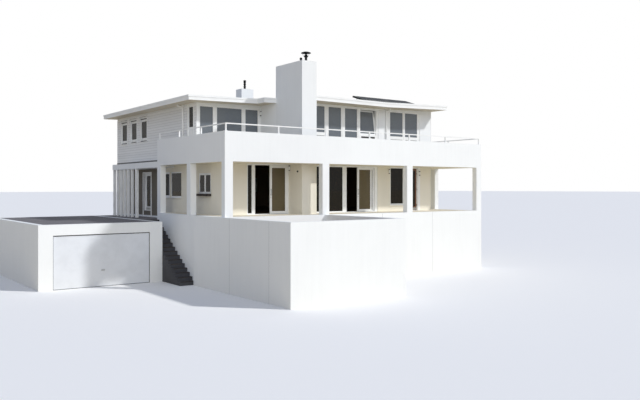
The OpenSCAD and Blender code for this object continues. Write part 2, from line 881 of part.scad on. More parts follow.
module head_and_sill(x, width, height) {
    translate([x, frame_inset, height - frame]) cube([width, frame_depth, frame]);
    translate([x, frame_inset, 0]) cube([width, frame_depth, sill_height]);
}

module ridge(x, width) {
    translate([x, track_y + (leaf - ridge_width) / 2, sill_height - 1])
        cube([width, ridge_width, ridge_height + 1]);
}

module door_jambs() {
    color("white") {
        on_front(house_x0, house_y0, 0) {
            jamb(left_slider_x - slider_post, slider_post, deck_soffit);
            jamb(left_slider_x + left_slider_clear, slider_jamb, deck_soffit);
        }
        on_front(chimney_x1, house_y0, 0) {
            jamb(right_slider_post_x, wide_post, deck_soffit);
            jamb(right_slider_x + right_slider_clear, right_slider_jamb, deck_soffit);
            jamb(terrace_door_x, frame, deck_soffit);
            jamb(terrace_door_x + terrace_door_width - frame, frame, deck_soffit);
        }
        on_left(inner_y0, 0) {
            jamb(porch_opening[0], frame, porch_door_height);
            jamb(porch_opening[0] + porch_door_width - frame, frame, porch_door_height);
        }
    }
}

module door_heads_and_sills() {
    color("white") {
        on_front(house_x0, house_y0, 0) {
            head_and_sill(left_slider_x, left_slider_clear, deck_soffit);
            ridge(left_slider_x, left_slider_clear);
        }
        on_front(chimney_x1, house_y0, 0) {
            head_and_sill(right_slider_x, right_slider_clear, deck_soffit);
            ridge(right_slider_x, right_slider_clear);
            head_and_sill(terrace_door_x + frame, terrace_door_width - 2 * frame, deck_soffit);
        }
        on_left(inner_y0, 0)
            head_and_sill(porch_opening[0] + frame, porch_door_width - 2 * frame, porch_door_height);
    }
}

// Sliding doors, which roll on the ridge of their sill
slider_height = door_head - 2 * door_gap - slider_foot;
left_slider_rest = left_slider_x + left_slider_clear - door_gap - left_slider_width;
right_slider_rest = right_slider_x + right_slider_clear - door_gap - right_slider_width - right_slider_ajar;

roller_width = ridge_width + 2;

module slider(width) {
    leaf_frame(width, slider_height, stile);
    for (x = [roller_edge, width - roller_edge])
        translate([x, (leaf - roller_width) / 2, running_gap + roller / 2 - ridge_height])
            rotate([-90, 0, 0]) cylinder(h = roller_width, d = roller);
}

module left_slider() {
    color("white") on_front(house_x0, house_y0, 0)
        translate([left_slider_rest, track_y, slider_foot]) slider(left_slider_width);
}

module left_slider_glass() {
    color("lightslategray") on_front(house_x0, house_y0, 0)
        translate([left_slider_rest, track_y, slider_foot])
            leaf_glass(left_slider_width, slider_height, stile);
}

module right_slider() {
    color("white") on_front(chimney_x1, house_y0, 0)
        translate([right_slider_rest, track_y, slider_foot]) slider(right_slider_width);
}

module right_slider_glass() {
    color("lightslategray") on_front(chimney_x1, house_y0, 0)
        translate([right_slider_rest, track_y, slider_foot])
            leaf_glass(right_slider_width, slider_height, stile);
}

// Hinged doors. Each is drawn about its hinge pin, with the leaf towards -x and
// its face at y = hinge_stand, and it opens towards -y.
pin_side = door_gap / 2;
terrace_leaf = terrace_door_width - 2 * frame - 2 * door_gap;
terrace_leaf_height = deck_soffit - frame - door_gap - hinged_foot;
porch_leaf = porch_door_width - 2 * frame - 2 * door_gap;
porch_leaf_height = porch_door_height - frame - door_gap - hinged_foot;
door_foot_rail = 2 * stile;
plate_start = knuckle / 4;
plate_gap = 0.5;
plate_sunk = 2;
function hinge_levels(height) = [
    hinge_end, (height - 2 * knuckle_height) / 2, height - hinge_end - 2 * knuckle_height
];

module knuckle_and_plate(inner, sunk) {
    cylinder(h = knuckle_height, d = knuckle);
    translate([inner, plate_start, 0])
        cube([hinge_plate - inner, hinge_stand - plate_start + sunk, knuckle_height]);
}

module hinged_leaf(width, height) {
    translate([-pin_side - width, hinge_stand, 0]) leaf_frame(width, height, door_foot_rail);
    for (z = hinge_levels(height))
        translate([0, 0, z + knuckle_height + running_gap])
            mirror([1, 0, 0]) knuckle_and_plate(pin_side, plate_sunk);
}

module hinged_glass(width, height) {
    translate([-pin_side - width, hinge_stand, 0]) leaf_glass(width, height, door_foot_rail);
}

module fixed_hinges(height) {
    for (z = hinge_levels(height)) translate([0, 0, z]) knuckle_and_plate(pin_side + plate_gap, 0);
}

module at_terrace_pin() {
    on_front(chimney_x1, house_y0, 0)
        translate([
            terrace_door_x + terrace_door_width - frame - pin_side,
            frame_inset - hinge_stand, hinged_foot
        ]) children();
}

module at_porch_pin() {
    translate([
        house_x0 + frame_inset + frame_depth + hinge_stand,
        inner_y0 + porch_opening[0] + porch_door_width - frame - pin_side, hinged_foot
    ]) rotate([0, 0, 90]) children();
}

module door_hinges() {
    color("silver") {
        at_terrace_pin() fixed_hinges(terrace_leaf_height);
        at_porch_pin() fixed_hinges(porch_leaf_height);
    }
}

module terrace_door() {
    color("saddlebrown") at_terrace_pin() hinged_leaf(terrace_leaf, terrace_leaf_height);
}

module terrace_door_glass() {
    color("lightslategray") at_terrace_pin() hinged_glass(terrace_leaf, terrace_leaf_height);
}

module porch_door() {
    color("white") at_porch_pin() hinged_leaf(porch_leaf, porch_leaf_height);
}

module porch_door_glass() {
    color("lightslategray") at_porch_pin() hinged_glass(porch_leaf, porch_leaf_height);
}

// Upper storey
module upper_floor() {
    color("gainsboro") translate([0, 0, ground_storey]) linear_extrude(upper_slab)
        polygon([
            [house_x0, house_y0], [chimney_x0, house_y0], [chimney_x0, chimney_y1],
            [chimney_x1, chimney_y1], [chimney_x1, house_y0], [house_x1, house_y0],
            [house_x1, house_y1], [house_x0, house_y1]
        ]);
}

// Walls drawn this high are cut off under the sloping roof
tall = upper_storey + rise_right + rise_middle;

module upper_front_wall() {
    color("white") under_roof() {
        on_front(house_x0, balcony_y, upper_z) piers(chimney_x, tall, [corner_glazing]);
        translate([chimney_x0, chimney_y1, upper_z])
            cube([wall, balcony_y + wall - chimney_y1, tall]);
        on_front(chimney_x1, house_y0, upper_z)
            piers(house_x1 - chimney_x1, tall, upper_front_windows);
    }
}

module upper_front_spandrels() {
    color("white") under_roof() {
        on_front(house_x0, balcony_y, upper_z) spandrels(tall, [corner_glazing]);
        on_front(chimney_x1, house_y0, upper_z) spandrels(tall, upper_front_windows);
    }
}

module upper_side_walls() {
    color("white") under_roof() {
        on_left(upper_left_start, upper_z)
            cut_wall(inner_y1 - upper_left_start, tall, upper_left_windows);
        on_right(inner_y0, upper_z) cut_wall(side_wall, tall, upper_right_windows);
    }
}

module upper_rear_wall() {
    color("white") under_roof()
        on_rear(house_x0, upper_z) cut_wall(house_x1 - house_x0, tall, upper_rear_windows);
}

module upper_window_frames() {
    color("white") {
        on_front(house_x0, balcony_y, upper_z) window_frames([corner_glazing]);
        on_front(chimney_x1, house_y0, upper_z) window_frames(upper_front_windows);
        on_left(upper_left_start, upper_z) window_frames(upper_left_windows);
        on_right(inner_y0, upper_z) window_frames(upper_right_windows);
        on_rear(house_x0, upper_z) window_frames(upper_rear_windows);
    }
}

module upper_glass() {
    color("lightslategray") {
        on_front(house_x0, balcony_y, upper_z) panes([corner_glazing]);
        on_front(chimney_x1, house_y0, upper_z) panes(upper_front_windows);
        on_left(upper_left_start, upper_z) panes(upper_left_windows);
        on_right(inner_y0, upper_z) panes(upper_right_windows);
        on_rear(house_x0, upper_z) panes(upper_rear_windows);
        opened_sash() translate([sash_face, (leaf - glass) / 2, sash_face])
            cube([sash_width - 2 * sash_face, glass, sash_height - 2 * sash_face]);
    }
}

// The open sash leans inwards on its lower inner edge, which rests on the frame
module opened_sash() {
    on_front(chimney_x1, house_y0, upper_z)
        translate([
            one_x + sash_x + door_gap,
            frame_inset + leaf + (frame_depth - leaf) / 3,
            low_sill + foot_panel
        ])
            rotate([-sash_tilt, 0, 0]) translate([0, -leaf, 0]) children();
}

module upper_open_sash() {
    color("white") opened_sash() difference() {
        cube([sash_width, leaf, sash_height]);
        translate([sash_face, -1, sash_face])
            cube([sash_width - 2 * sash_face, leaf + 2, sash_height - 2 * sash_face]);
    }
}

// Colonnade and deck
module deck_columns() {
    front = [0, bay_left, bay_left + bay_middle, deck_length - column];
    color("white") {
        for (x = front) translate([x, 0, 0]) cube([column, column_depth, deck_soffit]);
        for (x = [0, deck_length - column_depth])
            for (y = [bay_side, deck_depth - column])
                translate([x, y, 0]) cube([column_depth, column, deck_soffit]);
    }
}

module deck_front_slab() {
    color("antiquewhite") translate([0, 0, deck_soffit]) linear_extrude(deck_thickness)
        polygon([
            [parapet, parapet], [deck_length - parapet, parapet],
            [deck_length - parapet, house_y0], [chimney_x1, house_y0], [chimney_x1, chimney_y0],
            [chimney_x0, chimney_y0], [chimney_x0, house_y0], [parapet, house_y0]
        ]);
}

module deck_side_slabs() {
    length = deck_depth - parapet - house_y0;
    color("antiquewhite") {
        translate([parapet, house_y0, deck_soffit])
            cube([house_x0 - parapet, length, deck_thickness]);
        translate([house_x1, house_y0, deck_soffit])
            cube([deck_length - parapet - house_x1, length, deck_thickness]);
    }
}

module deck_front_parapet() {
    color("white") translate([0, 0, deck_soffit]) cube([deck_length, parapet, band_height]);
}

module deck_side_parapets() {
    color("white") translate([0, 0, deck_soffit]) linear_extrude(band_height) {
        polygon([
            [0, parapet], [parapet, parapet], [parapet, deck_depth - parapet],
            [house_x0, deck_depth - parapet], [house_x0, deck_depth], [0, deck_depth]
        ]);
        polygon([
            [deck_length - parapet, parapet], [deck_length, parapet], [deck_length, deck_depth],
            [house_x1, deck_depth], [house_x1, deck_depth - parapet],
            [deck_length - parapet, deck_depth - parapet]
        ]);
    }
}

// Rail on the parapet, with its posts on whole millimetres
function rail_places(length, bays) = [
    for (i = [0:bays]) rail_inset + round(i * (length - 2 * rail_inset) / bays)
];
rail_front = rail_places(deck_length, rail_bays);
rail_side = rail_places(deck_depth, rail_side_bays);

module rail_posts() {
    color("whitesmoke") {
        for (x = rail_front)
            translate([x - rail_tube / 2, rail_inset - rail_tube / 2, band_top])
                cube([rail_tube, rail_tube, rail_height]);
        for (x = [rail_inset, deck_length - rail_inset])
            for (i = [1:rail_side_bays])
                translate([x - rail_tube / 2, rail_side[i] - rail_tube / 2, band_top])
                    cube([rail_tube, rail_tube, rail_height]);
    }
}

module rail_bars() {
    bar_z = band_top + rail_height - rail_bar;
    color("whitesmoke") {
        for (i = [0:rail_bays - 1])
            translate([rail_front[i] + rail_tube / 2, rail_inset - rail_bar / 2, bar_z])
                cube([rail_front[i + 1] - rail_front[i] - rail_tube, rail_bar, rail_bar]);
        for (x = [rail_inset, deck_length - rail_inset])
            for (i = [0:rail_side_bays - 1])
                translate([x - rail_bar / 2, rail_side[i] + rail_tube / 2, bar_z])
                    cube([rail_bar, rail_side[i + 1] - rail_side[i] - rail_tube, rail_bar]);
    }
}

// Porch beside the house
module porch_roof() {
    color("white") translate([0, deck_depth, porch_soffit])
        cube([house_x0, porch_length, porch_edge]);
}

module porch_screen() {
    height = porch_soffit + porch_drop;
    last_y = deck_depth + porch_length - fin_end - fin_thickness;
    color("white") {
        translate([0, deck_depth + porch_post_y, porch_z]) cube([porch_post, porch_post, height]);
        for (i = [0:fins - 1])
            translate([0, last_y - i * fin_pitch, porch_z]) cube([fin_depth, fin_thickness, height]);
    }
}

// Roof
module roof() {
    color("lightgray") intersection() {
        linear_extrude(eaves_z + roof_plate + rise_right) roof_plan(roof_lip, 0);
        roof_band(0, roof_surface);
    }
}

module roof_edge() {
    color("white") intersection() {
        linear_extrude(eaves_z + roof_plate + rise_right + rise_middle) difference() {
            roof_plan(0, 0);
            roof_plan(upstand_width, upstand_width);
        }
        roof_band(roof_surface, roof_plate);
    }
}

// Chimneys
module tall_chimney() {
    color("white") translate([chimney_x0, chimney_y0, 0])
        cube([chimney_width, chimney_depth, chimney_height]);
}

small_x0 = house_x0 + small_x;
small_y0 = house_y0 + small_y;
small_top = upper_z + small_height;

module small_chimney() {
    color("gray") difference() {
        translate([small_x0, small_y0, eaves_z]) cube([small_width, small_depth, small_top - eaves_z]);
        roof_band(-roof_plate, roof_surface);
    }
}

// Levels of the cowl above the chimney: bulb, neck and hood
bulb_foot = 0.46 * cowl_height;
bulb_top = 0.54 * cowl_height;
neck_foot = 0.74 * cowl_height;
hood_foot = 0.82 * cowl_height;
hood_edge = 0.92 * cowl_height;
bulb = 0.9 * cowl_pipe;
neck = cowl_pipe / 3;

module chimney_cowls() {
    color("dimgray") {
        translate([chimney_x0 + chimney_width / 2, chimney_y0 + cowl_y, chimney_height]) rotate_extrude()
            polygon([
                [0, 0], [cowl_pipe / 2, 0], [cowl_pipe / 2, bulb_foot],
                [bulb, bulb_foot], [bulb, bulb_top], [neck, neck_foot], [neck, hood_foot],
                [cowl_hood / 2, hood_foot], [cowl_hood / 2, hood_edge],
                [cowl_pipe, cowl_height], [0, cowl_height]
            ]);
        translate([chimney_x0 + second_flue_x, chimney_y0 + second_flue_y, chimney_height])
            cylinder(h = second_flue_height, d = second_flue);
        translate([small_x0 + small_width / 2, small_y0 + small_depth / 2, small_top])
            cylinder(h = small_flue_height, d = small_flue);
    }
}

// Solar panels on legs behind the roof's front edge
module tilted(x, z, inset) {
    translate([x, roof_y0 + panel_y, z]) rotate([panel_tilt, 0, 0]) translate([0, 0, inset]) children();
}

module solar_panel(x, z) {
    rise = panel_length * sin(panel_tilt) + panel_clear + panel_thickness;
    reach = panel_length * cos(panel_tilt);
    leg_side = panel_width / 10;
    leg_back = reach / 10;
    tilted(x, z, 0) cube([panel_width, panel_length, panel_thickness]);
    difference() {
        for (side = [leg_side, panel_width - leg_side - panel_leg])
            for (back = [leg_back, reach - leg_back - panel_leg])
                translate([x + side, roof_y0 + panel_y + back, z - roof_plate])
                    cube([panel_leg, panel_leg, rise + roof_plate]);
        roof_band(-roof_plate, roof_surface);
        tilted(x, z, panel_thickness / 2)
            translate([-1, -panel_length, 0]) cube([panel_width + 2, 3 * panel_length, panel_length]);
    }
}

module solar_panels() {
    pitch = panel_width + panel_gap;
    first_x = chimney_x1 + panel_x;
    last_x = first_x + panels * pitch - panel_gap;
    // The panels lie in one line above the higher end of the roof under them
    level = max(lookup(first_x, soffit_line), lookup(last_x, soffit_line)) + roof_surface + panel_clear;
    color("dimgray") for (i = [0:panels - 1])
        solar_panel(first_x + i * pitch, level);
}

module rainwater_pipes() {
    height = upper_z + tall - deck_floor;
    off = pipe_gap + pipe / 2;
    front_x = chimney_x1 + two_x - front_pipe_gap;
    color("white") under_roof() {
        translate([front_x, house_y0 - off, deck_floor]) cylinder(h = height, d = pipe);
        translate([house_x0 - off, house_y0 + side_pipe_y, deck_floor]) cylinder(h = height, d = pipe);
    }
}

// Puts the origin under the middle of the whole building
module placed() {
    translate([-(box_x0 + box_x1) / 2, -(box_y0 + box_y1) / 2, terrace_height]) children();
}

placed() foundation_walls();
placed() plinth_walls();
placed() terrace_slab();
placed() ground_floor();
placed() planter_side_walls();
placed() planter_front_wall();
placed() planter_floor();
placed() stair();
placed() porch_floor();
placed() garage_front_wall();
placed() garage_side_walls();
placed() garage_cross_walls();
placed() garage_roof();
placed() garage_door();
placed() ground_front_wall();
placed() ground_front_spandrels();
placed() ground_side_walls();
placed() ground_side_spandrels();
placed() ground_rear_wall();
placed() ground_window_frames();
placed() ground_glass();
placed() door_jambs();
placed() door_heads_and_sills();
placed() door_hinges();
placed() left_slider();
placed() left_slider_glass();
placed() right_slider();
placed() right_slider_glass();
placed() terrace_door();
placed() terrace_door_glass();
placed() porch_door();
placed() porch_door_glass();
placed() upper_floor();
placed() upper_front_wall();
placed() upper_front_spandrels();
placed() upper_side_walls();
placed() upper_rear_wall();
placed() upper_window_frames();
placed() upper_open_sash();
placed() upper_glass();
placed() deck_columns();
placed() deck_front_slab();
placed() deck_side_slabs();
placed() deck_front_parapet();
placed() deck_side_parapets();
placed() rail_posts();
placed() rail_bars();
placed() porch_roof();
placed() porch_screen();
placed() roof();
placed() roof_edge();
placed() tall_chimney();
placed() small_chimney();
placed() chimney_cowls();
placed() solar_panels();
placed() rainwater_pipes();
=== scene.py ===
"""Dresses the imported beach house: boards, window trim, fittings, roof and chimney details,
a finish on every surface, and a plain stage with its camera."""

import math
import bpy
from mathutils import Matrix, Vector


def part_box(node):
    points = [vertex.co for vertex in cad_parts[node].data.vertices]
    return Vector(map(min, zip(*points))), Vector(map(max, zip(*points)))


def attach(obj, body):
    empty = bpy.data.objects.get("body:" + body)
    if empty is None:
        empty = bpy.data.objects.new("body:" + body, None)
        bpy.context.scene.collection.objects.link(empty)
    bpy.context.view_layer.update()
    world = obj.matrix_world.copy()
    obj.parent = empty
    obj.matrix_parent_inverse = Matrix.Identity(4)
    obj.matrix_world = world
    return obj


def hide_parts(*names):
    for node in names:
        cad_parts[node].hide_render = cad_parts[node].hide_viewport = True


bl_info = {
    "name": "Beach house",
    "version": (1, 0, 0),
    "blender": (4, 5, 0),
    "location": "View3D > Sidebar > Beach house",
    "description": "Boards, trim, fittings, finishes and stage for the beach house",
    "category": "Object",
}

import bmesh
import bpy
from bpy.props import FloatProperty, FloatVectorProperty, IntProperty, PointerProperty
from mathutils import Matrix, Vector

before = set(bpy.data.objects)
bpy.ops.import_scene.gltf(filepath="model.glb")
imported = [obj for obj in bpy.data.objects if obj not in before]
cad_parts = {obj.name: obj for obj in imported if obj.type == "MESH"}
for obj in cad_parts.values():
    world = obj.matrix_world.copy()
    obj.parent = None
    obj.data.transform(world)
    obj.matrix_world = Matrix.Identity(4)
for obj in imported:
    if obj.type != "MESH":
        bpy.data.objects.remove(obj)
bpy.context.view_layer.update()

# Depths are metres behind (-) or before (+) the outer face of a wall
FRAME_FACE = -0.030
FRAME_BACK = -0.170
GLASS_MIDDLE = -0.062
# The lapped boards start this far over the porch roof
OVER_PORCH = 0.16
# Heights of the roof sheet and of the roof's edge over the underside
ROOF_SURFACE = 0.16
ROOF_EDGE = 0.25


def linear(code):
    """An sRGB hex colour as linear values."""
    parts = [int(code[i:i + 2], 16) / 255 for i in (1, 3, 5)]
    return [c / 12.92 if c <= 0.04045 else ((c + 0.055) / 1.055) ** 2.4 for c in parts]


def colour(name, description, code):
    """A colour that the user may change."""
    return FloatVectorProperty(name=name, description=description, subtype="COLOR", size=3,
                               min=0.0, max=1.0, default=linear(code))


def length(name, description, value, low, high):
    """A length in metres that the user may change."""
    return FloatProperty(name=name, description=description, subtype="DISTANCE", unit="LENGTH",
                         default=value, min=low, max=high)


def strength(name, description, value, high):
    """The strength of a light, which the user may change."""
    return FloatProperty(name=name, description=description, default=value, min=0.0, max=high)


class HouseSizes(bpy.types.PropertyGroup):
    """Sizes of what is fixed to the house."""

    board_exposure: length("Board exposure", "Height of a lapped board that shows", 0.14, 0.08, 0.3)
    board_foot: length("Board foot", "Depth of a board at its lower edge", 0.026, 0.01, 0.05)
    board_head: length("Board head", "Depth of a board at its upper edge", 0.008, 0.004, 0.02)
    board_length: length("Board length", "Distance between the butt joints of a course", 3.9, 2.0, 6.0)
    corner_board: length("Corner board", "Width of the boards at the corners", 0.09, 0.05, 0.15)
    architrave: length("Architrave", "Width of the boards round a window", 0.06, 0.03, 0.12)
    bead: length("Glazing bead", "Width of the bead that holds a fixed pane", 0.010, 0.008, 0.05)
    sash: length("Sash", "Width of the frame of a window that opens", 0.038, 0.03, 0.08)
    sash_rail: length("Sash rail", "Height of the rails of a bedroom window", 0.145, 0.05, 0.2)
    gasket: length("Gasket", "Width of the rubber seal round a pane", 0.006, 0.004, 0.02)
    sill_reach: length("Sill reach", "How far a window sill stands out", 0.07, 0.03, 0.12)
    paving_slab: length("Paving slab", "Side of a paving slab", 0.5, 0.3, 1.0)
    roof_sheet: length("Roof sheet", "Distance between the seams of the roof sheet", 1.5, 0.9, 2.0)
    bracket_pitch: length("Bracket pitch", "Distance between the brackets of a pipe", 0.9, 0.5, 2.0)
    door_pull: length("Door pull", "Length of a sliding door's pull bar", 0.32, 0.2, 0.6)
    lathe_sides: IntProperty(name="Lathe sides", description="Sides of a turned part",
                             default=32, min=12, max=64)


class HouseColours(bpy.types.PropertyGroup):
    """Colours of the finishes."""

    wall: colour("Wall", "Masonry paint of the deck, columns and garden walls", "#F4F6F6")
    # Painted light: this cream stands in for warm light bounced from the terrace onto the ground storey
    bounce_cream_wall: colour("Ground wall", "Masonry paint of the ground storey", "#EFEADB")
    # Painted shade: the chimneys' paint is a little greyer than the wall's, standing in for the tall
    # chimney's darker shaded face
    chimney: colour("Chimney", "Masonry paint of the chimneys", "#EFF1F1")
    # Painted shade: the rooms' brown stands in for the dim light in rooms seen through windows and doorways
    rooms: colour("Rooms", "Emulsion on the walls and ceiling of the rooms", "#A8937A")
    # Painted shade: the porch wall's dark colour stands in for the deep shade under the porch roof
    porch_painted_shade: colour("Porch wall", "Masonry paint of the wall in the porch", "#757067")
    boards: colour("Boards", "Paint of the lapped boards", "#F0F1F1")
    joinery: colour("Joinery", "Paint of frames, doors and rails", "#F6F7F6")
    # Painted light and shade: the warm colour of ceilings and soffits stands in for their shade and the warm
    # light bounced up onto them
    soffit: colour("Soffit", "Paint of ceilings and soffits", "#EBE4CF")
    paving: colour("Paving", "Concrete paving slabs", "#EDE5D2")
    # Painted shade: this dark paving stands in for the shade on the porch floor and the garage roof
    paving_painted_shade: colour("Dark paving", "Concrete paving of the garage roof and the porch", "#77757A")
    screed: colour("Screed", "Concrete floors", "#857663")
    stair: colour("Stair", "Cast concrete stair", "#47484D")
    membrane: colour("Membrane", "Roofing sheet", "#B4B6B6")
    # Painted shade: the eaves colour, darker and warmer than the wall, stands in for the shade under the
    # roof and warm light bounced onto it
    eaves: colour("Eaves", "Paint of the underside of the roof", "#D6CCB8")
    garage_door: colour("Garage door", "Coated steel of the garage door", "#E6EAF0")
    door_wood: colour("Door wood", "Stained hardwood of the terrace door", "#6A4630")
    # Painted shade and reflection: these tints stand in for the rooms seen through the panes and for what
    # the panes mirror
    upper_glass: colour("Upper glass", "Tint of the upper panes", "#6E767E")
    ground_glass: colour("Ground glass", "Tint of the lower panes", "#1C1813")
    leaf_glass: colour("Leaf glass", "Tint of the panes of the sliding doors", "#6B6048")
    collector: colour("Collector", "Face of the solar collectors", "#20262F")


class HouseStage(bpy.types.PropertyGroup):
    """Light and floor of the stage."""

    sun: strength("Sun", "Strength of the sun lamp", 2.3, 6.0)
    fill: strength("Fill", "Strength of the wide fill lamp", 1.25, 3.0)
    sky: strength("Sky", "Strength of the light from all round", 0.38, 2.0)
    sky_colour: colour("Sky colour", "Colour of the light from all round", "#C8D8FA")
    mirrored: colour("Mirrored surroundings", "Colour that panes and metal mirror", "#BCBCBA")
    floor: colour("Floor", "Colour of the floor that the camera sees", "#F8F7F5")
    floor_bounce: colour("Floor bounce", "Colour of the floor that lights the house", "#D6CBB4")


def sizes():
    return bpy.context.scene.beach_house_sizes


def colours():
    return bpy.context.scene.beach_house_colours


# Finishes


# The inputs of a colour mix: its factor and its two colours
MIX = (0, 6, 7)


def add(owner, kind, links=None, **settings):
    """Adds a node with its settings, and gives its sockets their values or links. A node that is
    given as a value stands for its first output in use."""
    made = owner.node_tree.nodes.new(kind)
    for name, value in settings.items():
        setattr(made, name, value)
    for name, value in (links or {}).items():
        if isinstance(value, bpy.types.Node):
            value = next(output for output in value.outputs if output.enabled)
        if isinstance(value, bpy.types.NodeSocket):
            owner.node_tree.links.new(value, made.inputs[name])
        else:
            made.inputs[name].default_value = value
    return made


def bare(owner):
    """A material or world with an empty node tree."""
    owner.use_nodes = True
    owner.node_tree.nodes.clear()
    return owner


def begin(name):
    """A material with no nodes but its object coordinates."""
    material = bare(bpy.data.materials.new(name))
    return material, add(material, "ShaderNodeTexCoord").outputs["Object"]


def close(material, shades, rough, height, depth, constants=None):
    """Ends a material in its shader. Its shades are a pattern and the two colours it goes between,
    its roughness is a pattern and two values, and its height makes a bump of that depth."""
    tone = add(material, "ShaderNodeMix", dict(zip(MIX, shades)), data_type="RGBA")
    even = add(material, "ShaderNodeMapRange", dict(zip(("Value", "To Min", "To Max"), rough)))
    bump = add(material, "ShaderNodeBump", {"Height": height, "Distance": depth, "Strength": 1.0})
    links = {"Base Color": tone, "Roughness": even, "Normal": bump, **(constants or {})}
    shader = add(material, "ShaderNodeBsdfPrincipled", links)
    add(material, "ShaderNodeOutputMaterial", {"Surface": shader})
    return material


def rgba(values, share=1.0):
    """A linear colour for a socket, darkened to a share of itself."""
    return (values[0] * share, values[1] * share, values[2] * share, 1.0)


def within(material, place, low, high):
    """One inside a box and nothing outside it."""
    away = add(material, "ShaderNodeVectorMath", {0: place, 1: (low + high) / 2}, operation="SUBTRACT")
    size = add(material, "ShaderNodeVectorMath", {0: away}, operation="ABSOLUTE")
    over = add(material, "ShaderNodeVectorMath", {0: size, 1: (high - low) / 2}, operation="SUBTRACT")
    split = add(material, "ShaderNodeSeparateXYZ", {0: over})
    flat = add(material, "ShaderNodeMath", {0: split.outputs[0], 1: split.outputs[1]}, operation="MAXIMUM")
    most = add(material, "ShaderNodeMath", {0: flat, 1: split.outputs[2]}, operation="MAXIMUM")
    return add(material, "ShaderNodeMath", {0: most, 1: 0.0}, operation="LESS_THAN")


def facing(material, operation, limit):
    """One where a surface looks further up, or down, than a limit."""
    normal = add(material, "ShaderNodeNewGeometry").outputs["Normal"]
    upward = add(material, "ShaderNodeSeparateXYZ", {0: normal}).outputs[2]
    return add(material, "ShaderNodeMath", {0: upward, 1: limit}, operation=operation)


def masonry_paint(name, paint, zones=()):
    """Matt paint on fine sand render: trowel grain, soft clouds and faint rain streaks.
    A zone is a box in which the paint has another colour, such as the painted shade of the rooms and porch
    and the painted bounce light below the deck."""
    material, place = begin(name)
    # Rain streaks are about 150 mm apart and several metres long
    drawn = add(material, "ShaderNodeMapping", {"Vector": place, "Scale": (6.5, 6.5, 0.35)})
    streaks = add(material, "ShaderNodeTexNoise", {"Vector": drawn, "Scale": 1.0, "Detail": 5.0,
                                                   "Roughness": 0.6})
    clouds = add(material, "ShaderNodeTexNoise", {"Vector": place, "Scale": 0.7, "Detail": 4.0})
    both = add(material, "ShaderNodeMath", {0: streaks, 1: clouds}, operation="MULTIPLY")
    share = add(material, "ShaderNodeMapRange", {"Value": both, "From Min": 0.15, "From Max": 0.42,
                                                 "To Max": 1.0})
    shades = (share, rgba(paint), rgba(paint, 0.97))
    for other, low, high in zones:
        first = add(material, "ShaderNodeMix", dict(zip(MIX, shades)), data_type="RGBA")
        second = add(material, "ShaderNodeMix", {0: share, 6: rgba(other), 7: rgba(other, 0.97)},
                     data_type="RGBA")
        shades = (within(material, place, low, high), first, second)
    # The sand is 2 mm and shows as 8 mm here, which is the finest that a near view resolves
    sand = add(material, "ShaderNodeTexNoise", {"Vector": place, "Scale": 120.0, "Detail": 3.0})
    return close(material, shades, (sand, 0.82, 0.94), sand, 0.0012, {"Specular IOR Level": 0.3})


def board_paint(name, paint, exposure, foot):
    """Brushed satin paint on sawn boards: each board a little different, with fine grain along it
    and darker under its lap, which paints dirt there and the lap's shade."""
    material, place = begin(name)
    height = add(material, "ShaderNodeSeparateXYZ", {0: place}).outputs[2]
    course = add(material, "ShaderNodeMapRange",
                 {"Value": height, "From Min": foot, "From Max": foot + exposure}, clamp=False)
    number = add(material, "ShaderNodeMath", {0: course}, operation="FLOOR")
    chance = add(material, "ShaderNodeTexWhiteNoise", {"W": number}, noise_dimensions="1D")
    weather = add(material, "ShaderNodeTexNoise", {"Vector": place, "Scale": 1.1, "Detail": 4.0})
    mixed = add(material, "ShaderNodeMath", {0: chance, 1: weather}, operation="MULTIPLY")
    clean = add(material, "ShaderNodeMix", {0: mixed, 6: rgba(paint), 7: rgba(paint, 0.9)}, data_type="RGBA")
    # Dirt and painted shade darken the paint under each lap, on the top 14 mm of the board below
    rise = add(material, "ShaderNodeMath", {0: course}, operation="FRACT")
    lap = add(material, "ShaderNodeMath", {0: rise, 1: 1 - 0.014 / exposure}, operation="GREATER_THAN")
    # Brush and saw marks are 4 mm apart across the board and run along it
    drawn = add(material, "ShaderNodeMapping", {"Vector": place, "Scale": (2.0, 2.0, 90.0)})
    grain = add(material, "ShaderNodeTexNoise", {"Vector": drawn, "Scale": 2.5, "Detail": 4.0})
    return close(material, (lap, clean, rgba(paint, 0.7)), (grain, 0.45, 0.65), grain, 0.0015)


def satin_paint(name, paint, roughness):
    """Sprayed satin coat on wood or metal: a slight orange peel and a dusty bloom."""
    material, place = begin(name)
    bloom = add(material, "ShaderNodeTexNoise", {"Vector": place, "Scale": 2.2, "Detail": 5.0})
    share = add(material, "ShaderNodeMapRange", {"Value": bloom, "From Min": 0.4, "From Max": 0.75,
                                                 "To Max": 1.0})
    # Orange peel ripples are about 3 mm wide and are drawn 10 mm wide to show
    peel = add(material, "ShaderNodeTexNoise", {"Vector": place, "Scale": 95.0, "Detail": 2.0})
    rough = (bloom, roughness - 0.06, roughness + 0.12)
    return close(material, (share, rgba(paint), rgba(paint, 0.92)), rough, peel, 0.0003)


def window_glass(name, tint, opacity, index):
    """Sealed float glass before a room: glossy, with the slow waves of rolled panes, and a tint that paints
    the room's shade and what the pane mirrors.
    """
    material, place = begin(name)
    # The waves of toughened glass are about 300 mm long
    waves = add(material, "ShaderNodeTexNoise", {"Vector": place, "Scale": 3.3, "Detail": 1.0})
    dust = add(material, "ShaderNodeTexNoise", {"Vector": place, "Scale": 9.0, "Detail": 5.0})
    share = add(material, "ShaderNodeMapRange", {"Value": dust, "From Min": 0.5, "From Max": 0.8,
                                                 "To Max": 0.35})
    return close(material, (share, rgba(tint), rgba(tint, 1.25)), (dust, 0.015, 0.05), waves, 0.0004,
                 {"Alpha": opacity, "IOR": index})


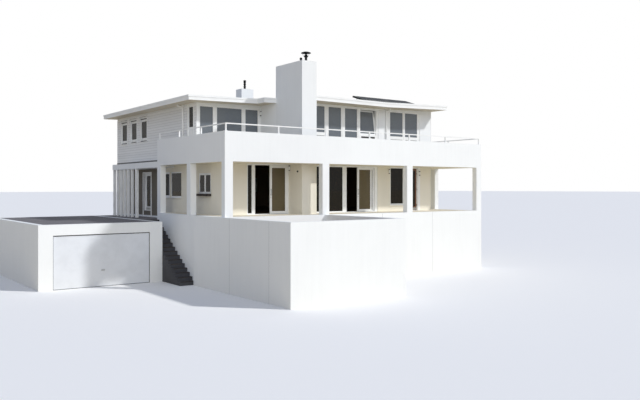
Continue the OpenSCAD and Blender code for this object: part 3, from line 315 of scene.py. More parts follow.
def slab_paving(name, paint, slab, ceiling=None):
    """Pressed concrete slabs laid on a square grid with sand joints, over an underside in a warm colour that
    paints its shade and bounce light.
    """
    material, place = begin(name)
    grid = add(material, "ShaderNodeTexBrick",
               {"Vector": place, "Color1": rgba(paint), "Color2": rgba(paint, 0.86),
                "Mortar": rgba(paint, 0.45), "Scale": 1.0, "Mortar Size": 0.005, "Mortar Smooth": 0.2,
                "Bias": -0.2, "Brick Width": slab, "Row Height": slab},
               offset=0.0)
    # Exposed sand of about 5 mm
    grit = add(material, "ShaderNodeTexNoise", {"Vector": place, "Scale": 160.0, "Detail": 3.0})
    stains = add(material, "ShaderNodeTexNoise", {"Vector": place, "Scale": 1.3, "Detail": 6.0})
    share = add(material, "ShaderNodeMapRange", {"Value": stains, "From Min": 0.45, "From Max": 0.7,
                                                 "To Max": 0.35})
    level = add(material, "ShaderNodeMath", {0: grit, 1: 0.25}, operation="MULTIPLY")
    height = add(material, "ShaderNodeMath", {0: level, 1: grid.outputs["Fac"]}, operation="SUBTRACT")
    shades = (share, grid, rgba(paint, 0.62))
    # Faces that do not look up take the ceiling colour, a painted shade with warm bounce light
    if ceiling is not None:
        top = facing(material, "GREATER_THAN", 0.5)
        stained = add(material, "ShaderNodeMix", dict(zip(MIX, shades)), data_type="RGBA")
        painted = add(material, "ShaderNodeMix",
                      {0: stains, 6: rgba(ceiling), 7: rgba(ceiling, 0.9)}, data_type="RGBA")
        shades = (top, painted, stained)
        height = add(material, "ShaderNodeMath", {0: height, 1: top}, operation="MULTIPLY")
    return close(material, shades, (grit, 0.75, 0.95), height, 0.003)


def cast_concrete(name, paint):
    """Shuttered concrete: cloudy grey with air pits and a fine grain."""
    material, place = begin(name)
    clouds = add(material, "ShaderNodeTexNoise", {"Vector": place, "Scale": 2.0, "Detail": 8.0,
                                                  "Roughness": 0.65})
    # Air pits are 6 mm across and about 60 mm apart
    pits = add(material, "ShaderNodeTexVoronoi", {"Vector": place, "Scale": 17.0})
    hollow = add(material, "ShaderNodeMapRange", {"Value": pits, "From Min": 0.05, "From Max": 0.12})
    grain = add(material, "ShaderNodeTexNoise", {"Vector": place, "Scale": 130.0, "Detail": 3.0})
    level = add(material, "ShaderNodeMath", {0: grain, 1: 0.3, 2: hollow}, operation="MULTIPLY_ADD")
    return close(material, (clouds, rgba(paint, 1.15), rgba(paint, 0.75)), (clouds, 0.7, 0.92), level, 0.002)


def roofing(name, sheet, edge, eaves):
    """Mineral roofing sheet on top, with dust in its hollows, satin paint on the edge, and a darker warm
    colour below as painted shade and bounce light.
    """
    material, place = begin(name)
    top = facing(material, "GREATER_THAN", 0.5)
    under = facing(material, "LESS_THAN", -0.5)
    pools = add(material, "ShaderNodeTexNoise", {"Vector": place, "Scale": 0.55, "Detail": 6.0})
    share = add(material, "ShaderNodeMapRange", {"Value": pools, "From Min": 0.4, "From Max": 0.65,
                                                 "To Max": 1.0})
    dusty = add(material, "ShaderNodeMix", {0: share, 6: rgba(sheet), 7: rgba(sheet, 0.84)},
                data_type="RGBA")
    painted = add(material, "ShaderNodeMix", {0: share, 6: rgba(edge), 7: rgba(edge, 0.93)},
                  data_type="RGBA")
    # Faces that look down take the eaves colour, a painted shade with warm bounce light
    lower = add(material, "ShaderNodeMix", {0: under, 6: painted, 7: rgba(eaves)}, data_type="RGBA")
    # The slate chips are 1 mm and are drawn 7 mm wide to show
    chips = add(material, "ShaderNodeTexNoise", {"Vector": place, "Scale": 140.0, "Detail": 2.0})
    level = add(material, "ShaderNodeMath", {0: chips, 1: top}, operation="MULTIPLY")
    return close(material, (top, lower, dusty), (top, 0.45, 0.88), level, 0.0012)


def stained_wood(name, paint):
    """Hardwood under a satin stain: upright grain with darker pores."""
    material, place = begin(name)
    # Growth lines are 9 mm apart and stretch up the stile
    drawn = add(material, "ShaderNodeMapping", {"Vector": place, "Scale": (14.0, 14.0, 0.9)})
    figure = add(material, "ShaderNodeTexNoise", {"Vector": drawn, "Scale": 3.0, "Detail": 6.0,
                                                  "Distortion": 0.6})
    pores = add(material, "ShaderNodeTexNoise", {"Vector": drawn, "Scale": 22.0, "Detail": 2.0})
    return close(material, (figure, rgba(paint, 1.5), rgba(paint, 0.55)), (pores, 0.32, 0.5), pores, 0.0006,
                 {"Coat Weight": 0.25, "Coat Roughness": 0.2})


def rolled_metal(name, paint, roughness, grain):
    """Rolled or brushed metal: a grain along one way and dull weathered patches."""
    material, place = begin(name)
    drawn = add(material, "ShaderNodeMapping", {"Vector": place, "Scale": grain})
    lines = add(material, "ShaderNodeTexNoise", {"Vector": drawn, "Scale": 1.0, "Detail": 3.0})
    patches = add(material, "ShaderNodeTexNoise", {"Vector": place, "Scale": 5.0, "Detail": 5.0})
    rough = (patches, roughness - 0.1, roughness + 0.15)
    return close(material, (patches, rgba(paint, 1.1), rgba(paint, 0.7)), rough, lines, 0.0003,
                 {"Metallic": 1.0})


def sealing_rubber(name, paint):
    """Extruded rubber: near black, matt, with a chalky bloom."""
    material, place = begin(name)
    bloom = add(material, "ShaderNodeTexNoise", {"Vector": place, "Scale": 14.0, "Detail": 4.0})
    return close(material, (bloom, rgba(paint), rgba(paint, 1.8)), (bloom, 0.6, 0.8), bloom, 0.0004)


def collector_face(name, paint):
    """Solar glass over dark absorber strips, with the strips' copper lines showing through."""
    material, place = begin(name)
    # Absorber strips are 120 mm wide with a 6 mm line between them
    grid = add(material, "ShaderNodeTexBrick",
               {"Vector": place, "Color1": rgba(paint), "Color2": rgba(paint, 1.25),
                "Mortar": rgba(paint, 2.6), "Scale": 1.0, "Mortar Size": 0.003, "Mortar Smooth": 0.3,
                "Brick Width": 0.12, "Row Height": 4.0},
               offset=0.0)
    dust = add(material, "ShaderNodeTexNoise", {"Vector": place, "Scale": 6.0, "Detail": 5.0})
    # Prismatic solar glass scatters the sky, so it stays dark at a low angle
    return close(material, (dust, grid, rgba(paint, 1.6)), (dust, 0.35, 0.5), dust, 0.0002,
                 {"Specular IOR Level": 0.12})


def planting_earth(name, paint):
    """Sandy earth: crumbs of several sizes, paler where it is dry."""
    material, place = begin(name)
    dry = add(material, "ShaderNodeTexNoise", {"Vector": place, "Scale": 1.8, "Detail": 8.0,
                                               "Roughness": 0.7})
    # Crumbs of about 15 mm
    crumbs = add(material, "ShaderNodeTexVoronoi", {"Vector": place, "Scale": 65.0})
    return close(material, (dry, rgba(paint, 0.6), rgba(paint, 1.4)), (dry, 0.85, 1.0), crumbs, 0.006)


def make_finish(key):
    """Builds the finish of that key in the scene's colours."""
    c = colours()
    slab = sizes().paving_slab
    low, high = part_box("ground_side_walls")
    porch_low, porch_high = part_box("porch_roof")
    foot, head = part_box("tall_chimney")
    # The rooms' paint, a painted shade for the dim rooms, starts 10 mm before the inner faces of the 300 mm
    # side walls
    margin = Vector((0.29, -0.01, -0.1))
    inside = (low + margin, high - margin)
    # The darker paint, a painted shade under the porch roof, starts behind the second side column
    start = porch_low.y + 1.6
    porch = (c.porch_painted_shade, Vector((low.x - 0.05, start, low.z - 1)),
             Vector((low.x + 0.15, porch_high.y + 0.02, porch_low.z)))
    # Below the deck the tall chimney takes the cream too, as painted warm bounce light
    bounce_under_deck = (c.bounce_cream_wall, foot - Vector((1, 1, 1)),
                  Vector((head.x + 1, head.y + 1, deck_low.z + 0.1)))
    maker, *given = {
        "wall": (masonry_paint, "Masonry paint on sand render", c.wall),
        "ground wall": (masonry_paint, "Masonry paint on sand render", c.bounce_cream_wall,
                        ((c.rooms, *inside), porch)),
        "ground floor": (masonry_paint, "Screed in the rooms and render on its edge", c.bounce_cream_wall,
                         ((c.screed, *inside), porch)),
        "tall chimney": (masonry_paint, "Masonry paint on brick", c.chimney, (bounce_under_deck,)),
        "chimney": (masonry_paint, "White masonry paint on brick", c.chimney),
        "rooms": (masonry_paint, "Emulsion on plaster", c.rooms),
        "boards": (board_paint, "Satin paint on softwood boards", c.boards, sizes().board_exposure,
                   porch_high.z + OVER_PORCH),
        "joinery": (satin_paint, "Satin gloss on hardwood joinery", c.joinery, 0.38),
        "rail": (satin_paint, "Powder coat on steel tube", c.joinery, 0.32),
        "roof edge": (satin_paint, "Powder coat on aluminium sheet", c.joinery, 0.42),
        "garage door": (satin_paint, "Powder coat on steel panels", c.garage_door, 0.45),
        "terrace": (slab_paving, "Pressed concrete paving", c.paving, slab),
        "paving in painted shade": (slab_paving, "Dark concrete paving", c.paving_painted_shade, slab),
        "deck": (slab_paving, "Deck paving over painted concrete", c.paving, slab, c.soffit),
        "stair": (cast_concrete, "Cast concrete", c.stair),
        "dark stone": (cast_concrete, "Honed basalt", linear("#3A3431")),
        "roof": (roofing, "Mineral roofing sheet and painted eaves", c.membrane, c.joinery, c.eaves),
        "seam": (cast_concrete, "Welded roofing lap", [x * 0.9 for x in c.membrane]),
        "upper glass": (window_glass, "Solar control double glazing", c.upper_glass, 0.86, 1.95),
        "ground glass": (window_glass, "Clear double glazing", c.ground_glass, 0.82, 1.45),
        "leaf glass": (window_glass, "Clear double glazing before a light room", c.leaf_glass, 0.82, 1.5),
        "door wood": (stained_wood, "Stained hardwood", c.door_wood),
        "hinge": (rolled_metal, "Brushed stainless steel", linear("#B9BBBC"), 0.34, (300.0, 300.0, 4.0)),
        "lead": (rolled_metal, "Weathered lead sheet", linear("#7C7F82"), 0.62, (20.0, 20.0, 20.0)),
        "cowl": (rolled_metal, "Blackened steel", linear("#2A2C2E"), 0.5, (6.0, 6.0, 60.0)),
        "aluminium": (rolled_metal, "Anodised aluminium", linear("#A9ACAE"), 0.36, (150.0, 3.0, 3.0)),
        "rubber": (sealing_rubber, "Sealing rubber", linear("#1B1B1C")),
        "collector": (collector_face, "Collector glass on absorber", c.collector),
        "earth": (planting_earth, "Sandy earth", linear("#8B7657")),
    }[key]
    return maker(*given)


finishes = {}


def finish(key):
    """The finish of that key, made once."""
    if key not in finishes:
        finishes[key] = make_finish(key)
    return finishes[key]


# Shapes


def put(name, data):
    """An object of that mesh, lamp or camera in the scene."""
    made = bpy.data.objects.new(name, data)
    bpy.context.scene.collection.objects.link(made)
    return made


def block(bm, low, high):
    """Adds a box between two corners."""
    low, high = Vector(low), Vector(high)
    matrix = Matrix.Translation((low + high) / 2) @ Matrix.Diagonal((*(high - low), 1))
    return bmesh.ops.create_cube(bm, size=1, matrix=matrix)["verts"]


def girth(low, high, grow, foot, head):
    """Corners of a box round an upright part, wider than it on all sides by that much."""
    return (low.x - grow, low.y - grow, foot), (high.x + grow, high.y + grow, head)


def thin_axis(low, high):
    """The level axis along which a part is thinner."""
    return 0 if high.x - low.x < high.y - low.y else 1


def ring(bm, low, high, axis, width):
    """Adds a flat frame: a box with a hole through it along an axis."""
    verts = block(bm, low, high)
    faces = []
    for face in dict.fromkeys(f for v in verts for f in v.link_faces):
        face.normal_update()
        if abs(face.normal[axis]) > 0.9:
            faces.append(face)
    bmesh.ops.inset_individual(bm, faces=faces, thickness=width, use_even_offset=True)
    edges = [e for f in faces for e in f.edges]
    bmesh.ops.delete(bm, geom=faces, context="FACES_ONLY")
    bmesh.ops.bridge_loops(bm, edges=edges)


def rod(bm, start, end, radius, sides=16, end_radius=None):
    """Adds a round bar or cone between two points."""
    start, end = Vector(start), Vector(end)
    line = end - start
    matrix = Matrix.Translation((start + end) / 2) @ line.to_track_quat("Z", "Y").to_matrix().to_4x4()
    far = radius if end_radius is None else end_radius
    return bmesh.ops.create_cone(bm, cap_ends=True, segments=sides, radius1=radius, radius2=far,
                                 depth=line.length, matrix=matrix)["verts"]


def turned(bm, centre, outline, sides):
    """Turns an outline of radius and height round an upright line through a point."""
    centre = Vector(centre)
    verts = [bm.verts.new(centre + Vector((r, 0, z))) for r, z in outline]
    edges = [bm.edges.new(pair) for pair in zip(verts, verts[1:])]
    bmesh.ops.spin(bm, geom=verts + edges, cent=centre, axis=(0, 0, 1), angle=2 * math.pi,
                   steps=sides, use_merge=True)


def piece(name, bm, key, body="building", soften=0.0, smooth=False):
    """Makes a finished piece of a mesh: soft edges, outward faces, finish, slot and body."""
    bmesh.ops.remove_doubles(bm, verts=bm.verts[:], dist=0.00001)
    bmesh.ops.recalc_face_normals(bm, faces=bm.faces[:])
    if soften:
        sharp = [e for e in bm.edges if len(e.link_faces) == 2 and e.calc_face_angle() > 0.6]
        bmesh.ops.bevel(bm, geom=sharp, offset=soften, offset_type="OFFSET", segments=1, profile=0.5,
                        affect="EDGES", clamp_overlap=True, material=-1)
    if not bm.faces:
        raise RuntimeError(f"{name} has no faces")
    if smooth:
        for face in bm.faces:
            face.smooth = True
        for edge in bm.edges:
            edge.smooth = len(edge.link_faces) == 2 and edge.calc_face_angle() < 0.6
    mesh = bpy.data.meshes.new(name)
    bm.to_mesh(mesh)
    bm.free()
    mesh.materials.append(finish(key))
    made = put(name, mesh)
    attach(made, body)
    return made


def solids(node):
    """Lowest and highest corner of each separate solid of a CAD node, in order of place."""
    bm = bmesh.new()
    bm.from_mesh(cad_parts[node].data)
    bmesh.ops.remove_doubles(bm, verts=bm.verts[:], dist=0.00001)
    unseen = set(bm.verts)
    found = []
    for first in bm.verts:
        if first not in unseen:
            continue
        unseen.remove(first)
        group = [first]
        for vert in group:
            for edge in vert.link_edges:
                other = edge.other_vert(vert)
                if other in unseen:
                    unseen.remove(other)
                    group.append(other)
        low = Vector([min(v.co[i] for v in group) for i in range(3)])
        high = Vector([max(v.co[i] for v in group) for i in range(3)])
        found.append((low, high))
    bm.free()
    return sorted(found, key=lambda s: [round(c, 3) for c in s[0]])


def soffit_points():
    """Distance along the front and height of each kink in the roof's underside."""
    lowest = {}
    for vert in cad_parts["roof"].data.vertices:
        x = round(vert.co.x, 3)
        lowest[x] = min(vert.co.z, lowest.get(x, vert.co.z))
    return sorted(lowest.items())


def soffit_height(x):
    """Height of the roof's underside at a distance along the front."""
    points = soffit_points()
    for (x0, z0), (x1, z1) in zip(points, points[1:]):
        if x <= x1:
            return z0 + (z1 - z0) * (x - x0) / (x1 - x0)
    return points[-1][1]


def along_roof(verts, foot, head):
    """Sets the foot and head of a block one metre high at heights over the roof's underside."""
    for vert in verts:
        vert.co.z = soffit_height(vert.co.x) + (head if vert.co.z > 0.5 else foot)


class Wall:
    """An outer face of the house, with places along it, out from it and up."""

    def __init__(self, axis, sign, plane):
        self.axis = axis
        self.sign = sign
        self.plane = plane

    def point(self, along, out, up):
        """The point at those distances along the wall, out from it and up."""
        across = self.plane + self.sign * out
        return Vector((across, along, up)) if self.axis == 0 else Vector((along, across, up))

    def corners(self, along, out, up):
        """Lowest and highest corner of a box given by its three spans."""
        a = self.point(along[0], out[0], up[0])
        b = self.point(along[1], out[1], up[1])
        return Vector(map(min, a, b)), Vector(map(max, a, b))

    def block(self, bm, along, out, up):
        """Adds a box given by its three spans."""
        return block(bm, *self.corners(along, out, up))

    def ring(self, bm, along, out, up, width):
        """Adds a flat frame in the plane of the wall."""
        ring(bm, *self.corners(along, out, up), self.axis, width)

    def outward(self, distance):
        """The step out of the wall by a distance."""
        return self.point(0, distance, 0) - self.point(0, 0, 0)

    def nudge(self, bm, verts, out, up, shift):
        """Moves the corners that are further out and up than that."""
        beyond = [v for v in verts if v.co.z > up and self.sign * (v.co[self.axis] - self.plane) > out]
        bmesh.ops.translate(bm, verts=beyond, vec=shift)


house_low, house_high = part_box("upper_floor")
deck_low, deck_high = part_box("deck_front_slab")
band_low, band_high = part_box("deck_front_parapet")
deck_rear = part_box("deck_side_parapets")[1].y
parapet_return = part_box("deck_side_slabs")[1].y
corner_pier = min(solids("upper_front_wall"), key=lambda s: s[0].x)
LEFT = Wall(0, -1, house_low.x)
RIGHT = Wall(0, 1, house_high.x)
REAR = Wall(1, 1, house_high.y)
FRONT = Wall(1, -1, house_low.y)
SET_BACK = Wall(1, -1, corner_pier[0].y)
BOARDED = (LEFT, RIGHT, REAR)


def wider(span, grow):
    """A span that is longer at both ends, or shorter where that is negative."""
    return span[0] - grow, span[1] + grow


def wall_of(low, high):
    """The wall that an upright sheet or frame stands in."""
    axis = thin_axis(low, high)
    middle = (low + high) / 2
    near = [w for w in (LEFT, RIGHT, REAR, FRONT, SET_BACK) if w.axis == axis]
    return min(near, key=lambda w: abs(w.plane - middle[axis]))


def upright(node, thickness=None):
    """Each solid of a node as its wall, span along and span up, or those of one thickness."""
    found = []
    for low, high in solids(node):
        wall = wall_of(low, high)
        if thickness and abs(high[wall.axis] - low[wall.axis] - thickness) > 0.002:
            continue
        other = 1 - wall.axis
        found.append((wall, (low[other], high[other]), (low.z, high.z)))
    return found


def windows():
    """Window frames of both storeys."""
    depth = FRAME_FACE - FRAME_BACK
    return upright("ground_window_frames", depth), upright("upper_window_frames", depth)


# Boards


def lapped_board(bm, wall, along, up, foot, head):
    """Adds one board, deeper at its foot than at its head."""
    verts = wall.block(bm, along, (0, foot), up)
    wall.nudge(bm, verts, foot / 2, sum(up) / 2, wall.outward(head - foot))


def lapped_boards(bm, wall, along, foot, head, holes):
    """Hangs lapped boards on a wall from its foot to its head, cut round its holes."""
    s = sizes()
    level = foot
    number = 0
    while level < head - 0.02:
        top = min(level + s.board_exposure, head)
        cuts = sorted({level, top} | {u for h in holes for u in h[1] if level < u < top})
        joints = []
        joint = along[0] + s.board_length * (0.45 + (number % 3) / 3)
        while joint < along[1] - 0.3:
            joints.append((joint - 0.0015, joint + 0.0015))
            joint += s.board_length
        for low, high in zip(cuts, cuts[1:]):
            middle = (low + high) / 2
            stops = sorted([h[0] for h in holes if h[1][0] < middle < h[1][1]] + joints)
            start = along[0]
            for stop, go_on in stops + [(along[1], along[1])]:
                if start >= along[1]:
                    break
                if stop > start + 0.002:
                    slope = (s.board_head - s.board_foot) / s.board_exposure
                    lapped_board(bm, wall, (start, min(stop, along[1])), (low, high),
                                 s.board_foot + slope * (low - level), s.board_foot + slope * (high - level))
                start = max(start, go_on)
        level += s.board_exposure
        number += 1


def under_soffit(bm, wall, along, depth, height):
    """Adds a board close under the roof, following its slope."""
    along_roof(wall.block(bm, along, (0, depth), (0, 1)), -height, -0.002)


class BEACH_OT_boards(bpy.types.Operator):
    """Clad the upper side and rear walls in lapped boards, with frieze, corners and base flashing"""

    bl_idname = "beach.boards"
    bl_label = "Boards"

    def execute(self, context):
        s = sizes()
        frieze = 0.12
        trim = 0.030
        over_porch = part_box("porch_roof")[1].z + OVER_PORCH
        over_deck = deck_high.z + 0.01
        edge = s.architrave
        kinks = [x for x, z in soffit_points() if house_low.x < x < house_high.x]
        stops = [house_low.x, *kinks, house_high.x]
        bm = bmesh.new()
        for wall in BOARDED:
            holes = [(wider(a, edge), wider(u, edge)) for w, a, u in windows()[1] if w is wall]
            if wall is REAR:
                head = min(soffit_height(x) for x in stops) - frieze / 2
                lapped_boards(bm, wall, (house_low.x, house_high.x), over_porch, head, holes)
                continue
            start = SET_BACK.plane if wall is LEFT else FRONT.plane
            head = soffit_height(wall.plane) - frieze / 2
            holes.append(((parapet_return, deck_rear), (band_low.z, band_high.z)))
            lapped_boards(bm, wall, (start, deck_rear), over_deck, head, holes)
            lapped_boards(bm, wall, (deck_rear, house_high.y), over_porch, head, holes)
        piece("lapped_boards", bm, "boards")

        bm = bmesh.new()
        under_soffit(bm, LEFT, (SET_BACK.plane, house_high.y), trim, frieze)
        under_soffit(bm, RIGHT, (FRONT.plane, house_high.y), trim, frieze)
        for span in zip(stops, stops[1:]):
            under_soffit(bm, REAR, span, trim, frieze)
        # A plain board closes the wedge over the level boards of the rear
        high_rear = soffit_height(house_high.x) - frieze
        low_rear = min(soffit_height(x) for x in stops[:-1]) - frieze / 2
        if high_rear > low_rear:
            verts = REAR.block(bm, stops[-2:], (0, trim - 0.006), (low_rear - 0.02, high_rear))
            for vert in verts:
                if vert.co.z > low_rear:
                    vert.co.z = soffit_height(vert.co.x) - frieze + 0.004
        piece("frieze_boards", bm, "boards", soften=0.002)

        bm = bmesh.new()
        for wall, start, end in (
            (LEFT, deck_rear, house_high.y + 0.02), (RIGHT, deck_rear, house_high.y + 0.02),
            (REAR, house_low.x, house_high.x),
        ):
            verts = wall.block(bm, (start, end), (0, 0.045), (over_porch - 0.10, over_porch + 0.012))
            wall.nudge(bm, verts, 0.02, over_porch, (0, 0, -0.008))
        piece("base_flashing", bm, "lead", soften=0.002)

        bm = bmesh.new()
        width = s.corner_board
        for wall, along, foot in (
            (LEFT, SET_BACK.plane, over_deck), (LEFT, house_high.y, over_porch),
            (RIGHT, FRONT.plane, over_deck), (RIGHT, house_high.y, over_porch),
        ):
            inner = along + width if along < house_high.y else along - width
            span = (min(along, inner), max(along, inner))
            top = soffit_height(wall.plane) - frieze - 0.001
            wall.block(bm, span, (0, trim), (foot + 0.004, top))
            if along == house_high.y:
                outer = wall.plane + wall.sign * trim
                inside = wall.plane - wall.sign * width
                REAR.block(bm, (min(outer, inside), max(outer, inside)), (0, trim), (foot + 0.004, top))
        piece("corner_boards", bm, "boards", soften=0.002)
        return {"FINISHED"}


class BEACH_OT_balcony(bpy.types.Operator):
    """Pave the balcony before the corner glazing"""

    bl_idname = "beach.balcony"
    bl_label = "Balcony paving"

    def execute(self, context):
        bed = 0.012
        bm = bmesh.new()
        block(bm, (house_low.x - 0.004, FRONT.plane - 0.004, deck_high.z + 0.001),
              (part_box("tall_chimney")[0].x, SET_BACK.plane, house_high.z + bed))
        piece("balcony_paving", bm, "terrace")
        return {"FINISHED"}


# Windows


class BEACH_OT_window_beads(bpy.types.Operator):
    """Add glazing beads, sash frames and rubber seals round every pane"""

    bl_idname = "beach.window_beads"
    bl_label = "Window beads"

    def execute(self, context):
        s = sizes()
        beads = bmesh.new()
        seals = bmesh.new()
        for node in ("ground_glass", "upper_glass"):
            for low, high in solids(node):
                wall = wall_of(low, high)
                middle = (low + high) / 2
                if abs(wall.plane + wall.sign * GLASS_MIDDLE - middle[wall.axis]) > 0.005:
                    continue
                along = (low[1 - wall.axis], high[1 - wall.axis])
                up = (low.z, high.z)
                bedroom = node == "upper_glass" and wall in BOARDED
                railed = bedroom and low.z < deck_high.z + 1.2
                opens = not bedroom and along[1] - along[0] < 0.96 and 0.5 < up[1] - up[0] < 1.3
                width = s.sash if opens and wall is not FRONT else s.bead
                front = FRAME_FACE + 0.005 if width == s.sash or railed else FRAME_FACE - 0.004
                if railed:
                    for rail in ((up[0], up[0] + s.sash_rail), (up[1] - s.sash_rail, up[1])):
                        wall.block(beads, along, (FRAME_BACK + 0.01, front), rail)
                wall.ring(beads, along, (FRAME_BACK + 0.01, front), up, width)
                inside = 0.002 - width
                wall.ring(seals, wider(along, inside), (GLASS_MIDDLE - 0.02, GLASS_MIDDLE + 0.02),
                          wider(up, inside), s.gasket)
        piece("window_beads", beads, "joinery", soften=0.002)
        piece("window_seals", seals, "rubber")
        return {"FINISHED"}


class BEACH_OT_window_trim(bpy.types.Operator):
    """Add architraves, sills, flashings, dark strips as painted shadow lines, outer panes in painted shade,
    mullion covers and low lights
    """

    bl_idname = "beach.window_trim"
    bl_label = "Window trim"

    def execute(self, context):
        s = sizes()
        ground, upper = windows()
        boarded = [w for w in upper if w[0] in BOARDED]
        low_ones = [w for w in ground if w[2][0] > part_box("terrace_slab")[1].z + 0.1]

        trim = bmesh.new()
        edge = s.architrave
        for wall, along, up in boarded:
            wall.ring(trim, wider(along, edge), (0, 0.034), wider(up, edge), edge + 0.001)
        piece("architraves", trim, "joinery", soften=0.002)

        sills = bmesh.new()
        stone = bmesh.new()
        kitchen = min((w for w in low_ones if w[0] is LEFT), key=lambda w: w[1][0])
        for window in boarded + low_ones:
            wall, along, up = window
            if up[0] < deck_high.z + 0.5 and window in boarded:
                continue
            target = stone if window is kitchen else sills
            thick = 0.11 if window is kitchen else 0.038
            reach = 0.18 if window is kitchen else s.sill_reach
            over = 0.05 if window in low_ones else edge
            verts = wall.block(target, wider(along, over), (FRAME_FACE, reach),
                               (up[0] - thick, up[0] + 0.004))
            wall.nudge(target, verts, 0, up[0] - thick / 2, (0, 0, -0.010))
        piece("window_sills", sills, "joinery", soften=0.003)
        piece("stone_sill", stone, "dark stone", soften=0.003)

        flashing = bmesh.new()
        painted_shadow_strips = bmesh.new()
        for wall, along, up in boarded:
            if up[0] < deck_high.z + 0.5:
                continue
            top = up[1] + edge
            verts = wall.block(flashing, wider(along, 0.08), (0, 0.055), (top, top + 0.012))
            wall.nudge(flashing, verts, 0.03, top, (0, 0, -0.006))
            # Dark strips across the head and foot of each bedroom pane are painted shadow lines
            for painted_shadow_strip in ((up[1] - 0.085, up[1] - 0.045), (up[0] + 0.005, up[0] + 0.04)):
                wall.block(painted_shadow_strips, wider(along, -0.002), (FRAME_FACE - 0.01, 0.012), painted_shadow_strip)
        piece("window_flashings", flashing, "lead", soften=0.002)
        piece("window_painted_shadow_strips", painted_shadow_strips, "rubber", soften=0.003)

        panes = upright("upper_glass")
        outer = bmesh.new()
        # Outer panes of the dark lower glass on the bedroom windows are a painted shade of the dim bedrooms
        for wall, along, up in panes:
            if wall in BOARDED:
                wall.block(outer, wider(along, -0.001), (GLASS_MIDDLE + 0.013, GLASS_MIDDLE + 0.017),
                           wider(up, -0.001))
        piece("bedroom_panes_in_painted_shade", outer, "ground glass")

        covers = bmesh.new()
        lower = bmesh.new()
        for wall, along, up in upper:
            if wall not in (FRONT, SET_BACK):
                continue
            mine = [(span, rise) for w, span, rise in panes if w is wall and along[0] < span[0] < along[1]]
            spans = sorted(span for span, rise in mine)
            for left, right in zip(spans, spans[1:]):
                if right[0] - left[1] > 0.15:
                    wall.block(covers, wider((left[1], right[0]), -0.055), (FRAME_FACE, FRAME_FACE + 0.014),
                               wider(up, -0.03))
            for span, rise in mine:
                if rise[0] - up[0] > 0.5:
                    span = wider(span, -0.01)
                    below = (up[0] + 0.06, rise[0] - s.sash_rail)
                    wall.ring(covers, span, (FRAME_FACE, FRAME_FACE + 0.012), below, 0.015)
                    wall.block(lower, wider(span, -0.012), (FRAME_FACE - 0.01, FRAME_FACE + 0.004),
                               wider(below, -0.012))
        piece("mullion_covers", covers, "joinery", soften=0.002)
        piece("lower_lights", lower, "ground glass")
        return {"FINISHED"}


# Doors


